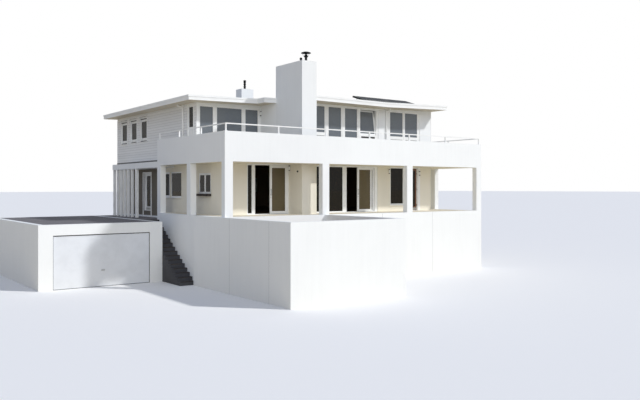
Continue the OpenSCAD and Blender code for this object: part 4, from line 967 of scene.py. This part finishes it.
class BEACH_OT_door_fittings(bpy.types.Operator):
    """Add beads, seals, pulls, levers and kick plates to the doors, with surrounds and grips"""

    bl_idname = "beach.door_fittings"
    bl_label = "Door fittings"

    def glazing(self, node, body, key, slot, axis, faces, proud, deep, width, inset):
        """Beads on both faces of a leaf and the seal between them."""
        low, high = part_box(node + "_glass")
        across = Vector([0.0 if i == axis else 1.0 for i in range(3)])
        middle = (low[axis] + high[axis]) / 2

        def rim(bm, span, grow, broad):
            a, b = low - across * grow, high + across * grow
            a[axis], b[axis] = span
            ring(bm, a, b, axis, broad)

        beads = bmesh.new()
        rim(beads, (faces[0] - proud, faces[0] + deep), 0.004, width)
        rim(beads, (faces[1] - deep, faces[1] + proud), 0.004, width)
        piece(node + "_beads", beads, key, body, soften=0.0015)
        seal = bmesh.new()
        rim(seal, (middle - 0.018, middle + 0.018), -inset, 0.01)
        piece(node + "_seal", seal, "rubber", body)

    def sliding(self, body, node):
        """Glazing, a pull bar on two standoffs and a lock below it."""
        low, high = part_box(node)
        self.glazing(node, body, "joinery", "door_frame_paint", 1, (low.y, high.y),
                     proud=0.003, deep=0.012, width=0.02, inset=0.014)
        bm = bmesh.new()
        x = (low.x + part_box(node + "_glass")[0].x) / 2
        z = low.z + 1.05
        bar = low.y - 0.042
        half = sizes().door_pull / 2
        lock = z - half - 0.1
        rod(bm, (x, bar, z - half), (x, bar, z + half), 0.011, 20)
        for level in (z - half + 0.04, z + half - 0.04):
            rod(bm, (x, bar, level), (x, low.y + 0.004, level), 0.008, 16)
            rod(bm, (x, low.y - 0.004, level), (x, low.y + 0.004, level), 0.017, 20)
        rod(bm, (x, low.y - 0.006, lock), (x, low.y + 0.004, lock), 0.018, 24)
        block(bm, (x - 0.002, low.y - 0.0075, lock - 0.009), (x + 0.002, low.y, lock + 0.009))
        piece(node + "_pull", bm, "hinge", body, smooth=True)

    def hinged(self, body, node, key, slot):
        """Glazing, a lever on each side, a lock and a kick plate."""
        leaf_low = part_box(node)[0]
        low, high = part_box(node + "_glass")
        axis = thin_axis(low, high)
        other = 1 - axis
        thick = 0.054
        middle = (low[axis] + high[axis]) / 2
        faces = (middle - thick / 2, middle + thick / 2)
        self.glazing(node, body, key, slot, axis, faces, proud=0.004, deep=0.014, width=0.022, inset=0.016)

        def at(along, out, up):
            place = [0, 0, up]
            place[other] = along
            place[axis] = out
            return tuple(place)

        free = (leaf_low[other] + low[other]) / 2
        z = leaf_low.z + 1.02
        lock = z - 0.09
        bm = bmesh.new()
        for face, sign in ((faces[0], -1), (faces[1], 1)):
            plate = face + sign * 0.002
            grip = face + sign * 0.045
            block(bm, at(free - 0.021, plate - 0.002, z - 0.13), at(free + 0.021, plate + 0.002, z + 0.07))
            rod(bm, at(free, face, z), at(free, face + sign * 0.012, z), 0.018, 24)
            rod(bm, at(free, face, z), at(free, grip, z), 0.009, 16)
            rod(bm, at(free - 0.012, grip, z), at(free + 0.115, grip, z), 0.0095, 16)
            rod(bm, at(free, face, lock), at(free, face + sign * 0.009, lock), 0.010, 20)
        piece(node + "_lever", bm, "hinge", body, smooth=True)
        bm = bmesh.new()
        face = faces[0]
        ends = (low[other] - 0.065, high[other] + 0.065)
        foot = leaf_low.z + 0.02
        block(bm, at(ends[0], face - 0.0015, foot), at(ends[1], face + 0.001, foot + 0.13))
        for along in (ends[0] + 0.02, ends[1] - 0.02):
            for up in (foot + 0.02, foot + 0.11):
                rod(bm, at(along, face - 0.003, up), at(along, face, up), 0.004, 10)
        piece(node + "_kick_plate", bm, "hinge", body, smooth=True)

    def execute(self, context):
        self.sliding("left_sliding_door", "left_slider")
        self.sliding("right_sliding_door", "right_slider")
        self.hinged("terrace_door_leaf", "terrace_door", "door wood", "door_wood")
        self.hinged("porch_door_leaf", "porch_door", "joinery", "door_frame_paint")

        bm = bmesh.new()
        low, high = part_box("porch_door")
        edge = 0.10
        for span in ((low.y - 0.065 - edge, low.y - 0.067), (high.y + 0.067, high.y + 0.065 + edge)):
            LEFT.block(bm, span, (-0.01, 0.022), (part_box("porch_floor")[1].z + 0.002, high.z + edge))
        LEFT.block(bm, (low.y - 0.067, high.y + 0.067), (-0.01, 0.022), (high.z + 0.055, high.z + edge))
        piece("porch_door_surround", bm, "joinery", soften=0.003)

        bm = bmesh.new()
        jamb = max(high.x for low, high in solids("door_jambs"))
        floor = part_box("terrace_slab")[1].z
        FRONT.block(bm, (jamb - 0.02, jamb + 0.18), (-0.01, 0.018), (floor, deck_low.z - 0.001))
        piece("door_surround", bm, "joinery", soften=0.003)

        bm = bmesh.new()
        for low, high in solids("door_heads_and_sills"):
            if high.z - low.z < 0.05:
                axis = thin_axis(low, high)
                for step in range(3):
                    place = low[axis] + 0.016 + step * 0.008
                    a, b = map(Vector, girth(low, high, -0.004, low.z + 0.019, low.z + 0.0222))
                    a[axis], b[axis] = place, place + 0.004
                    block(bm, a, b)
        piece("sill_grips", bm, "aluminium")
        return {"FINISHED"}


# Rail


class BEACH_OT_rail_fittings(bpy.types.Operator):
    """Add foot plates, bolts and sockets to the deck rail"""

    bl_idname = "beach.rail_fittings"
    bl_label = "Rail fittings"

    def execute(self, context):
        plate = 0.075
        bolt = 0.056
        sleeve = 0.004
        plates = bmesh.new()
        bolts = bmesh.new()
        for low, high in solids("rail_posts"):
            centre = (low + high) / 2
            block(plates, *girth(centre, centre, plate, low.z, low.z + 0.010))
            block(plates, *girth(low, high, sleeve, low.z + 0.008, low.z + 0.026))
            for x in (-bolt, bolt):
                for y in (-bolt, bolt):
                    place = Vector((centre.x + x, centre.y + y, low.z + 0.008))
                    rod(bolts, place, place + Vector((0, 0, 0.004)), 0.012, 16)
                    rod(bolts, place, place + Vector((0, 0, 0.014)), 0.009, 6)
        for low, high in solids("rail_bars"):
            axis = 1 - thin_axis(low, high)
            for end, sign in ((low[axis], 1), (high[axis], -1)):
                a, b = map(Vector, girth(low, high, sleeve, low.z - sleeve, high.z))
                a[axis], b[axis] = sorted((end, end + sign * 0.022))
                block(plates, a, b)
        piece("rail_plates", plates, "rail", soften=0.0015)
        piece("rail_bolts", bolts, "hinge")
        return {"FINISHED"}


# Roof


class BEACH_OT_roof_trim(bpy.types.Operator):
    """Add the seams of the roof sheet, edge joints and chimney flashings"""

    bl_idname = "beach.roof_trim"
    bl_label = "Roof trim"

    def execute(self, context):
        s = sizes()
        edge_low, edge_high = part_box("roof_edge")
        tall_low, tall_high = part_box("tall_chimney")
        upstand = 0.12
        corners = [v.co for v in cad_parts["roof_edge"].data.vertices]
        left_front = min(c.y for c in corners if c.x < edge_low.x + 0.01)
        seams = bmesh.new()
        x = edge_low.x + upstand + s.roof_sheet
        while x < edge_high.x - upstand - 0.3:
            # The roof's front edge steps back at the tall chimney
            edge = left_front
            if x > tall_low.x - 1.2:
                edge = tall_high.y
            if x > tall_high.x + 0.15:
                edge = edge_low.y
            verts = block(seams, (x, edge + upstand + 0.02, 0), (x + 0.09, edge_high.y - upstand - 0.02, 1))
            along_roof(verts, ROOF_SURFACE - 0.004, ROOF_SURFACE + 0.004)
            x += s.roof_sheet
        piece("roof_seams", seams, "seam")

        strip = 3.0
        proud = 0.0015
        spans = []
        x = edge_high.x - strip
        while x > tall_high.x + 0.5:
            spans.append(((x - 0.05, edge_low.y - proud), (x + 0.05, edge_low.y + 0.06)))
            x -= strip
        y = edge_high.y - strip
        while y > SET_BACK.plane:
            spans.append(((edge_low.x - proud, y - 0.05), (edge_low.x + 0.06, y + 0.05)))
            spans.append(((edge_high.x - 0.06, y - 0.05), (edge_high.x + proud, y + 0.05)))
            y -= strip
        joints = bmesh.new()
        for near, far in spans:
            along_roof(block(joints, (*near, 0), (*far, 1)), ROOF_EDGE - 0.088, ROOF_EDGE + proud)
        piece("roof_edge_joints", joints, "roof edge")

        flashing = bmesh.new()
        small_low, small_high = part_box("small_chimney")
        top = soffit_height(small_high.x) + ROOF_SURFACE
        rim = 0.004
        ring(flashing, *girth(small_low, small_high, rim, top - 0.05, top + 0.16), 2, rim + 0.002)
        ring(flashing, *girth(small_low, small_high, 0.15, top - 0.012, top + 0.008), 2, 0.152)
        roof_top = soffit_height(tall_high.x) + ROOF_EDGE
        block(flashing, (tall_low.x + 0.02, tall_high.y - 0.002, roof_top - 0.02),
              (tall_high.x + rim, tall_high.y + rim, roof_top + 0.07))
        block(flashing, (tall_high.x - 0.002, edge_low.y + 0.1, roof_top - 0.02),
              (tall_high.x + rim, tall_high.y + rim, roof_top + 0.07))
        piece("chimney_flashings", flashing, "lead", soften=0.001)
        return {"FINISHED"}


class BEACH_OT_chimney_tops(bpy.types.Operator):
    """Replace the plain cowls with turned sheet-metal ones on mortar beds"""

    bl_idname = "beach.chimney_tops"
    bl_label = "Chimney tops"

    def execute(self, context):
        sides = sizes().lathe_sides
        flues = solids("chimney_cowls")
        hooded = max(flues, key=lambda f: f[1].x - f[0].x)
        others = [f for f in flues if f is not hooded]
        short = min(others, key=lambda f: f[1].z - f[0].z)
        small = max(others, key=lambda f: f[1].z - f[0].z)

        def middle(low, high):
            """Middle of a flue's foot, half its width, and its height."""
            return Vector(((low.x + high.x) / 2, (low.y + high.y) / 2,
                           low.z)), (high.x - low.x) / 2, high.z - low.z

        bm = bmesh.new()
        centre, hood, tall = middle(*hooded)
        pipe = 0.06
        turned(bm, centre, [(0, 0), (pipe + 0.05, 0), (pipe + 0.05, 0.012), (pipe + 0.012, 0.03),
                            (pipe, 0.04), (pipe, 0.44 * tall), (pipe + 0.012, 0.445 * tall),
                            (0.106, 0.46 * tall), (0.108, 0.50 * tall), (0.106, 0.54 * tall),
                            (0.075, 0.62 * tall), (0.044, 0.72 * tall), (0.040, 0.80 * tall),
                            (0.6 * hood, 0.815 * tall), (hood - 0.012, 0.82 * tall), (hood, 0.835 * tall),
                            (hood, 0.865 * tall), (hood - 0.02, 0.885 * tall), (0.55 * hood, 0.955 * tall),
                            (0.05, 0.99 * tall), (0.022, tall), (0, tall)], sides)
        for spoke in range(4):
            angle = math.pi / 4 + spoke * math.pi / 2
            way = Vector((math.cos(angle), math.sin(angle), 0))
            foot = centre + way * 0.100 + Vector((0, 0, 0.50 * tall))
            rod(bm, foot, centre + way * (hood - 0.05) + Vector((0, 0, 0.83 * tall)), 0.005, 8)
        centre, wide, tall = middle(*short)
        turned(bm, centre, [
            (0, 0), (wide, 0), (wide, 0.01), (wide - 0.025, 0.02), (wide - 0.025, 0.45 * tall),
            (wide - 0.006, 0.5 * tall), (wide - 0.004, 0.62 * tall), (wide - 0.02, 0.85 * tall),
            (0.03, 0.98 * tall), (0, tall),
        ], sides)
        centre, wide, tall = middle(*small)
        outline = [(0, 0), (wide, 0), (wide, 0.012), (wide - 0.03, 0.03)]
        for band in (0.26, 0.50, 0.74):
            outline += [(wide - 0.03, band * tall), (wide - 0.012, band * tall + 0.006),
                        (wide - 0.012, band * tall + 0.034), (wide - 0.03, band * tall + 0.04)]
        outline += [(wide - 0.03, 0.86 * tall), (wide, 0.88 * tall), (wide, 0.92 * tall),
                    (0.04, 0.985 * tall), (0, tall)]
        turned(bm, centre, outline, sides)
        cowls = piece("sheet_cowls", bm, "cowl", smooth=True)
        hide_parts("chimney_cowls")

        bm = bmesh.new()
        for node, rise in (("tall_chimney", 0.035), ("small_chimney", 0.03)):
            low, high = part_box(node)
            verts = block(bm, *girth(low, high, -0.05, high.z, high.z + rise))
            centre = (low + high) / 2
            for vert in verts:
                if vert.co.z > high.z + rise / 2:
                    vert.co.x += 0.09 if vert.co.x < centre.x else -0.09
                    vert.co.y += 0.09 if vert.co.y < centre.y else -0.09
        piece("mortar_beds", bm, "seam", soften=0.004)
        return {"FINISHED"}


class BEACH_OT_collectors(bpy.types.Operator):
    """Add frames and joining pipes to the solar collectors"""

    bl_idname = "beach.collectors"
    bl_label = "Solar collectors"

    def execute(self, context):
        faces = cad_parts["solar_panels"].data.polygons
        slope = max((f for f in faces if f.normal.z > 0.5), key=lambda f: f.area).normal
        tilt = math.atan2(-slope.y, slope.z)
        thick = 0.08
        bm = bmesh.new()
        for low, high in solids("solar_panels"):
            hinge_y = low.y + thick * math.sin(tilt)
            deep = (high.y - hinge_y) / math.cos(tilt)
            foot = high.z - deep * math.sin(tilt) - thick * math.cos(tilt)
            turn = Matrix.Translation((low.x, hinge_y, foot)) @ Matrix.Rotation(tilt, 4, "X")
            first = len(bm.verts)
            wide = high.x - low.x
            ring(bm, (0, 0, thick - 0.03), (wide, deep, thick + 0.006), 2, 0.035)
            ring(bm, (0, 0, 0.004), (wide, deep, 0.03), 2, 0.02)
            bm.verts.ensure_lookup_table()
            bmesh.ops.transform(bm, matrix=turn, verts=bm.verts[first:])
        piece("collector_frames", bm, "aluminium", soften=0.001)
        bm = bmesh.new()
        left, right = solids("solar_panels")[0], solids("solar_panels")[-1]
        level = right[1].z - 0.06
        back = left[1].y - 0.05
        rod(bm, (left[1].x - 0.05, back, level), (right[0].x + 0.05, back, level), 0.014, 16)
        x = right[1].x - 0.12
        y = right[1].y - 0.012
        under = soffit_height(x)
        rod(bm, (x, y, level - 0.02), (x, y, under + 0.155), 0.016, 16)
        rod(bm, (x, y, under + 0.15), (x, y, under + 0.2), 0.05, 20, 0.022)
        piece("collector_pipes", bm, "rubber", smooth=True)
        return {"FINISHED"}


# Rainwater and lamps


class BEACH_OT_rainwater(bpy.types.Operator):
    """Add brackets, sockets, an upper bend and feet to the rainwater pipes"""

    bl_idname = "beach.rainwater"
    bl_label = "Rainwater pipes"

    def execute(self, context):
        s = sizes()
        bm = bmesh.new()
        for low, high in solids("rainwater_pipes"):
            radius = (high.x - low.x) / 2
            x = low.x + radius
            y = low.y + radius
            wall = LEFT if x < house_low.x else FRONT
            z = low.z + 0.25
            while z < high.z - 0.2:
                rod(bm, (x, y, z - 0.014), (x, y, z + 0.014), radius + 0.005, 32)
                inner = Vector((x, y, z))
                inner[wall.axis] = wall.plane
                sideways = Vector((0.012, 0.012, 0.012))
                a = Vector(map(min, inner, (x, y, z))) - sideways
                b = Vector(map(max, inner, (x, y, z))) + sideways
                if wall.sign < 0:
                    b[wall.axis] = wall.plane + 0.004
                block(bm, a, b)
                z += s.bracket_pitch
            socket = low.z + 1.45
            rod(bm, (x, y, socket - 0.045), (x, y, socket + 0.045), radius + 0.008, 32)
            rod(bm, (x, y, socket + 0.045), (x, y, socket + 0.06), radius + 0.008, 32, radius)
            rod(bm, (x, y, low.z), (x, y, low.z + 0.05), radius + 0.02, 32, radius + 0.006)
            top = Vector((x, y, high.z - 0.16))
            outlet = top + wall.outward(0.30) + Vector((0, 0, 0.10))
            rod(bm, top - Vector((0, 0, 0.05)), top, radius + 0.006, 32)
            rod(bm, top, outlet, radius - 0.004, 24)
            rod(bm, outlet - Vector((0, 0, 0.03)),
                Vector((outlet.x, outlet.y, soffit_height(outlet.x) + 0.01)), radius, 24)
        piece("pipe_fittings", bm, "rail", smooth=True)
        return {"FINISHED"}


class BEACH_OT_lamps(bpy.types.Operator):
    """Add the tube lamps beside the openings and the round lamp on the chimney"""

    bl_idname = "beach.lamps"
    bl_label = "Wall lamps"

    def execute(self, context):
        sides = sizes().lathe_sides
        tall_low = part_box("tall_chimney")[0]
        window = max((w for w in windows()[0] if w[0] is FRONT), key=lambda w: w[1][0])
        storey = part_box("ground_front_wall")[0].z
        left, front = Vector((-1, 0, 0)), Vector((0, -1, 0))
        tubes = (
            (Vector((tall_low.x, FRONT.plane - 0.12, storey + 2.265)), left),
            (Vector((tall_low.x, SET_BACK.plane - 0.10, deck_high.z + 2.25)), left),
            (Vector((window[1][0] - 0.10, FRONT.plane, storey + 2.20)), front),
            (Vector((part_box("terrace_door")[1].x + 0.15, FRONT.plane - 0.018, storey + 2.12)), front),
        )
        bodies = bmesh.new()
        caps = bmesh.new()
        lenses = bmesh.new()
        for place, out in tubes:
            centre = place + out * 0.052
            rod(bodies, place, centre, 0.016, 12)
            turned(bodies, centre - Vector((0, 0, 0.09)), [(0, 0), (0.034, 0), (0.034, 0.18), (0, 0.18)],
                   sides)
            for level, edge in ((-0.125, -0.124), (0.09, 0.124)):
                collar = [(0.030, 0), (0.038, 0), (0.038, 0.035), (0.030, 0.035), (0.030, 0)]
                turned(caps, centre + Vector((0, 0, level)), collar, sides)
                lens = centre + Vector((0, 0, 0.8 * edge))
                rod(lenses, lens, lens + Vector((0, 0, 0.006)), 0.031, sides)
        place = Vector((tall_low.x, tall_low.y + 0.36, storey + 2.09))
        rod(caps, place, place + left * 0.02, 0.045, sides)
        rod(caps, place + left * 0.02, place + left * 0.05, 0.038, sides, 0.026)
        piece("wall_lamps", bodies, "joinery", smooth=True)
        piece("lamp_caps", caps, "cowl", smooth=True)
        piece("lamp_lenses", lenses, "joinery")
        return {"FINISHED"}


# Below the terrace


class BEACH_OT_garage_and_stair(bpy.types.Operator):
    """Add the garage door's seals, drawn wide enough to paint the shade of its gap as well, its edging and
    handle, stair nosings and movement joints
    """

    bl_idname = "beach.garage_and_stair"
    bl_label = "Garage and stair"

    def execute(self, context):
        low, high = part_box("garage_door")
        back = low.y + 0.002
        proud = low.y - 0.004
        side = 0.022
        # The dark strips are the door's rubber seals and also a painted shade of the gap round the door
        seals = bmesh.new()
        for x0, z0, x1, z1 in (
            (low.x, low.z, low.x + side, high.z), (high.x - side, low.z, high.x, high.z),
            (low.x + side, high.z - 0.04, high.x - side, high.z),
            (low.x + side, low.z, high.x - side, low.z + 0.018),
        ):
            block(seals, (x0, low.y - 0.012, z0), (x1, back, z1))
        piece("garage_door_seals_and_gap_shade", seals, "rubber")
        bm = bmesh.new()
        gap = 0.034
        ring(bm, (low.x + gap, proud, low.z + gap), (high.x - gap, back, high.z - 0.052), 1, 0.045)
        piece("garage_door_edging", bm, "garage door", soften=0.0015)
        bm = bmesh.new()
        x = (low.x + high.x) / 2
        z = low.z + 0.76
        bar = low.y - 0.022
        ring(bm, (x - 0.09, proud, z - 0.04), (x + 0.09, back, z + 0.04), 1, 0.012)
        rod(bm, (x - 0.06, bar, z), (x + 0.06, bar, z), 0.009, 16)
        for post in (x - 0.055, x + 0.055):
            rod(bm, (post, bar, z), (post, low.y, z), 0.006, 12)
        piece("garage_door_handle", bm, "hinge", smooth=True)

        bm = bmesh.new()
        low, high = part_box("stair")
        treads = [f.center.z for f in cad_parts["stair"].data.polygons if f.normal.z > 0.9]
        count = len({round(z, 3) for z in treads})
        going = (high.y - low.y) / count
        rise = (high.z - low.z) / count
        lip = 0.003
        for step in range(count):
            y = low.y + step * going
            z = low.z + (step + 1) * rise
            block(bm, (low.x + 0.03, y - lip, z - 0.03), (high.x - 0.03, y + 0.001, z + lip))
            block(bm, (low.x + 0.03, y - lip, z - 0.001), (high.x - 0.03, y + 0.045, z + lip))
            for groove in range(3):
                start = y + 0.008 + groove * 0.012
                block(bm, (low.x + 0.035, start, z + 0.002), (high.x - 0.035, start + 0.005, z + 0.0045))
        piece("stair_nosings", bm, "dark stone")

        bm = bmesh.new()
        plinth_low, plinth_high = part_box("plinth_walls")
        planter_low, planter_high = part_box("planter_side_walls")
        half = 0.003
        proud = 0.0015
        foot = 0.02
        bay = 3.6
        x = planter_high.x + 3.4
        while x < plinth_high.x - 1:
            block(bm, (x - half, plinth_low.y - proud, foot),
                  (x + half, plinth_low.y + 0.002, plinth_high.z - foot))
            x += bay
        # The planter's joints stand where the photo shows them
        for y in (planter_low.y + 1.52, planter_low.y + 4.69):
            block(bm, (planter_low.x - proud, y - half, foot),
                  (planter_low.x + 0.002, y + half, planter_high.z - foot))
        piece("movement_joints", bm, "lead")
        return {"FINISHED"}


# Finishes of the CAD parts


NODE_FINISHES = {
    "wall": ("foundation_walls", "plinth_walls", "planter_side_walls", "planter_front_wall",
             "garage_front_wall", "garage_side_walls", "garage_cross_walls", "deck_columns",
             "deck_front_parapet", "deck_side_parapets", "porch_roof", "upper_front_wall",
             "upper_front_spandrels", "upper_side_walls", "upper_rear_wall"),
    "ground wall": ("ground_front_wall", "ground_front_spandrels", "ground_side_walls",
                    "ground_side_spandrels", "ground_rear_wall"),
    "tall chimney": ("tall_chimney",),
    "chimney": ("small_chimney",),
    "rooms": ("upper_floor",),
    "terrace": ("terrace_slab",),
    "paving in painted shade": ("porch_floor", "garage_roof"),
    "deck": ("deck_front_slab", "deck_side_slabs"),
    "ground floor": ("ground_floor",),
    "stair": ("stair",),
    "earth": ("planter_floor",),
    "garage door": ("garage_door",),
    "joinery": ("ground_window_frames", "upper_window_frames", "upper_open_sash", "door_jambs",
                "door_heads_and_sills", "left_slider", "right_slider", "porch_door", "porch_screen"),
    "door wood": ("terrace_door",),
    "hinge": ("door_hinges",),
    "ground glass": ("ground_glass", "terrace_door_glass", "porch_door_glass"),
    "leaf glass": ("left_slider_glass", "right_slider_glass"),
    "upper glass": ("upper_glass",),
    "rail": ("rail_posts", "rail_bars", "rainwater_pipes"),
    "roof": ("roof",),
    "roof edge": ("roof_edge",),
    "collector": ("solar_panels",),
    "cowl": ("chimney_cowls",),
}


class BEACH_OT_finishes(bpy.types.Operator):
    """Give every CAD part its finish"""

    bl_idname = "beach.finishes"
    bl_label = "Finishes"

    def execute(self, context):
        left = set(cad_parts)
        for key, names in NODE_FINISHES.items():
            for name in names:
                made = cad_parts[name]
                made.data.materials.clear()
                made.data.materials.append(finish(key))
                left.discard(name)
        if left:
            raise RuntimeError(f"These parts have no finish: {sorted(left)}")
        return {"FINISHED"}


# Stage


class BEACH_OT_stage(bpy.types.Operator):
    """Lay the floor and set the light and the camera"""

    bl_idname = "beach.stage"
    bl_label = "Stage"

    def execute(self, context):
        stage = context.scene.beach_house_stage
        bm = bmesh.new()
        bmesh.ops.create_grid(bm, x_segments=1, y_segments=1, size=900)
        mesh = bpy.data.meshes.new("floor")
        bm.to_mesh(mesh)
        bm.free()
        material = bare(bpy.data.materials.new("Pale studio floor"))
        path = add(material, "ShaderNodeLightPath")
        seen = add(material, "ShaderNodeMix",
                   {0: path.outputs["Is Camera Ray"], 6: rgba(stage.floor_bounce), 7: rgba(stage.floor)},
                   data_type="RGBA")
        matt = add(material, "ShaderNodeBsdfPrincipled",
                   {"Base Color": seen, "Roughness": 0.95, "Specular IOR Level": 0.0})
        add(material, "ShaderNodeOutputMaterial", {"Surface": matt})
        mesh.materials.append(material)
        put("floor", mesh)

        world = bare(bpy.data.worlds.new("Even light"))
        context.scene.world = world
        path = add(world, "ShaderNodeLightPath")
        direct = add(world, "ShaderNodeMath",
                     {0: path.outputs["Is Camera Ray"], 1: path.outputs["Is Transmission Ray"]},
                     operation="MAXIMUM")
        even = add(world, "ShaderNodeBackground", {"Color": rgba(stage.sky_colour), "Strength": stage.sky})
        mirrored = add(world, "ShaderNodeBackground", {"Color": rgba(stage.mirrored), "Strength": 1.0})
        white = add(world, "ShaderNodeBackground", {"Color": (1.0, 1.0, 1.0, 1.0), "Strength": 1.0})
        soft = add(world, "ShaderNodeMixShader", {0: path.outputs["Is Glossy Ray"], 1: even, 2: mirrored})
        chosen = add(world, "ShaderNodeMixShader", {0: direct, 1: soft, 2: white})
        add(world, "ShaderNodeOutputWorld", {"Surface": chosen})

        for name, direction, energy, spread in (
            ("sun", (-0.90, 1.00, -1.12), stage.sun, 3.0),
            ("fill", (0.40, 0.90, -0.20), stage.fill, 70.0),
        ):
            lamp = bpy.data.lights.new(name, "SUN")
            lamp.energy = energy
            lamp.angle = math.radians(spread)
            put(name, lamp).rotation_euler = Vector(direction).to_track_quat("-Z", "Y").to_euler()

        # The photo's camera, worked out from the house's own lines
        lens = bpy.data.cameras.new("camera")
        lens.sensor_width = 36.0
        lens.lens = 39.375
        lens.shift_y = -0.01816
        lens.clip_end = 2000.0
        camera = put("camera", lens)
        camera.location = (-19.661, -32.218, 4.514)
        camera.rotation_euler = (math.radians(90), 0, -math.radians(36.18))
        context.scene.camera = camera
        context.scene.view_settings.view_transform = "Standard"
        return {"FINISHED"}


class BEACH_PT_house(bpy.types.Panel):
    """Lists the parts of the house and the settings they use"""

    bl_idname = "BEACH_PT_house"
    bl_label = "Beach house"
    bl_space_type = "VIEW_3D"
    bl_region_type = "UI"
    bl_category = "Beach house"

    def draw(self, context):
        for operator in OPERATORS:
            self.layout.operator(operator.bl_idname)
        for group in ("beach_house_sizes", "beach_house_colours", "beach_house_stage"):
            settings = getattr(context.scene, group)
            column = self.layout.column(align=True)
            for name in settings.__annotations__:
                column.prop(settings, name)


OPERATORS = (
    BEACH_OT_finishes,
    BEACH_OT_boards,
    BEACH_OT_balcony,
    BEACH_OT_window_beads,
    BEACH_OT_window_trim,
    BEACH_OT_door_fittings,
    BEACH_OT_rail_fittings,
    BEACH_OT_roof_trim,
    BEACH_OT_chimney_tops,
    BEACH_OT_collectors,
    BEACH_OT_rainwater,
    BEACH_OT_lamps,
    BEACH_OT_garage_and_stair,
    BEACH_OT_stage,
)
CLASSES = (HouseSizes, HouseColours, HouseStage) + OPERATORS + (BEACH_PT_house,)


def register():
    for each in CLASSES:
        bpy.utils.register_class(each)
    bpy.types.Scene.beach_house_sizes = PointerProperty(type=HouseSizes)
    bpy.types.Scene.beach_house_colours = PointerProperty(type=HouseColours)
    bpy.types.Scene.beach_house_stage = PointerProperty(type=HouseStage)


def unregister():
    del bpy.types.Scene.beach_house_stage
    del bpy.types.Scene.beach_house_colours
    del bpy.types.Scene.beach_house_sizes
    for each in reversed(CLASSES):
        bpy.utils.unregister_class(each)


def main():
    register()
    for operator in OPERATORS:
        group, name = operator.bl_idname.split(".")
        getattr(getattr(bpy.ops, group), name)()


if __name__ == "__main__":
    main()
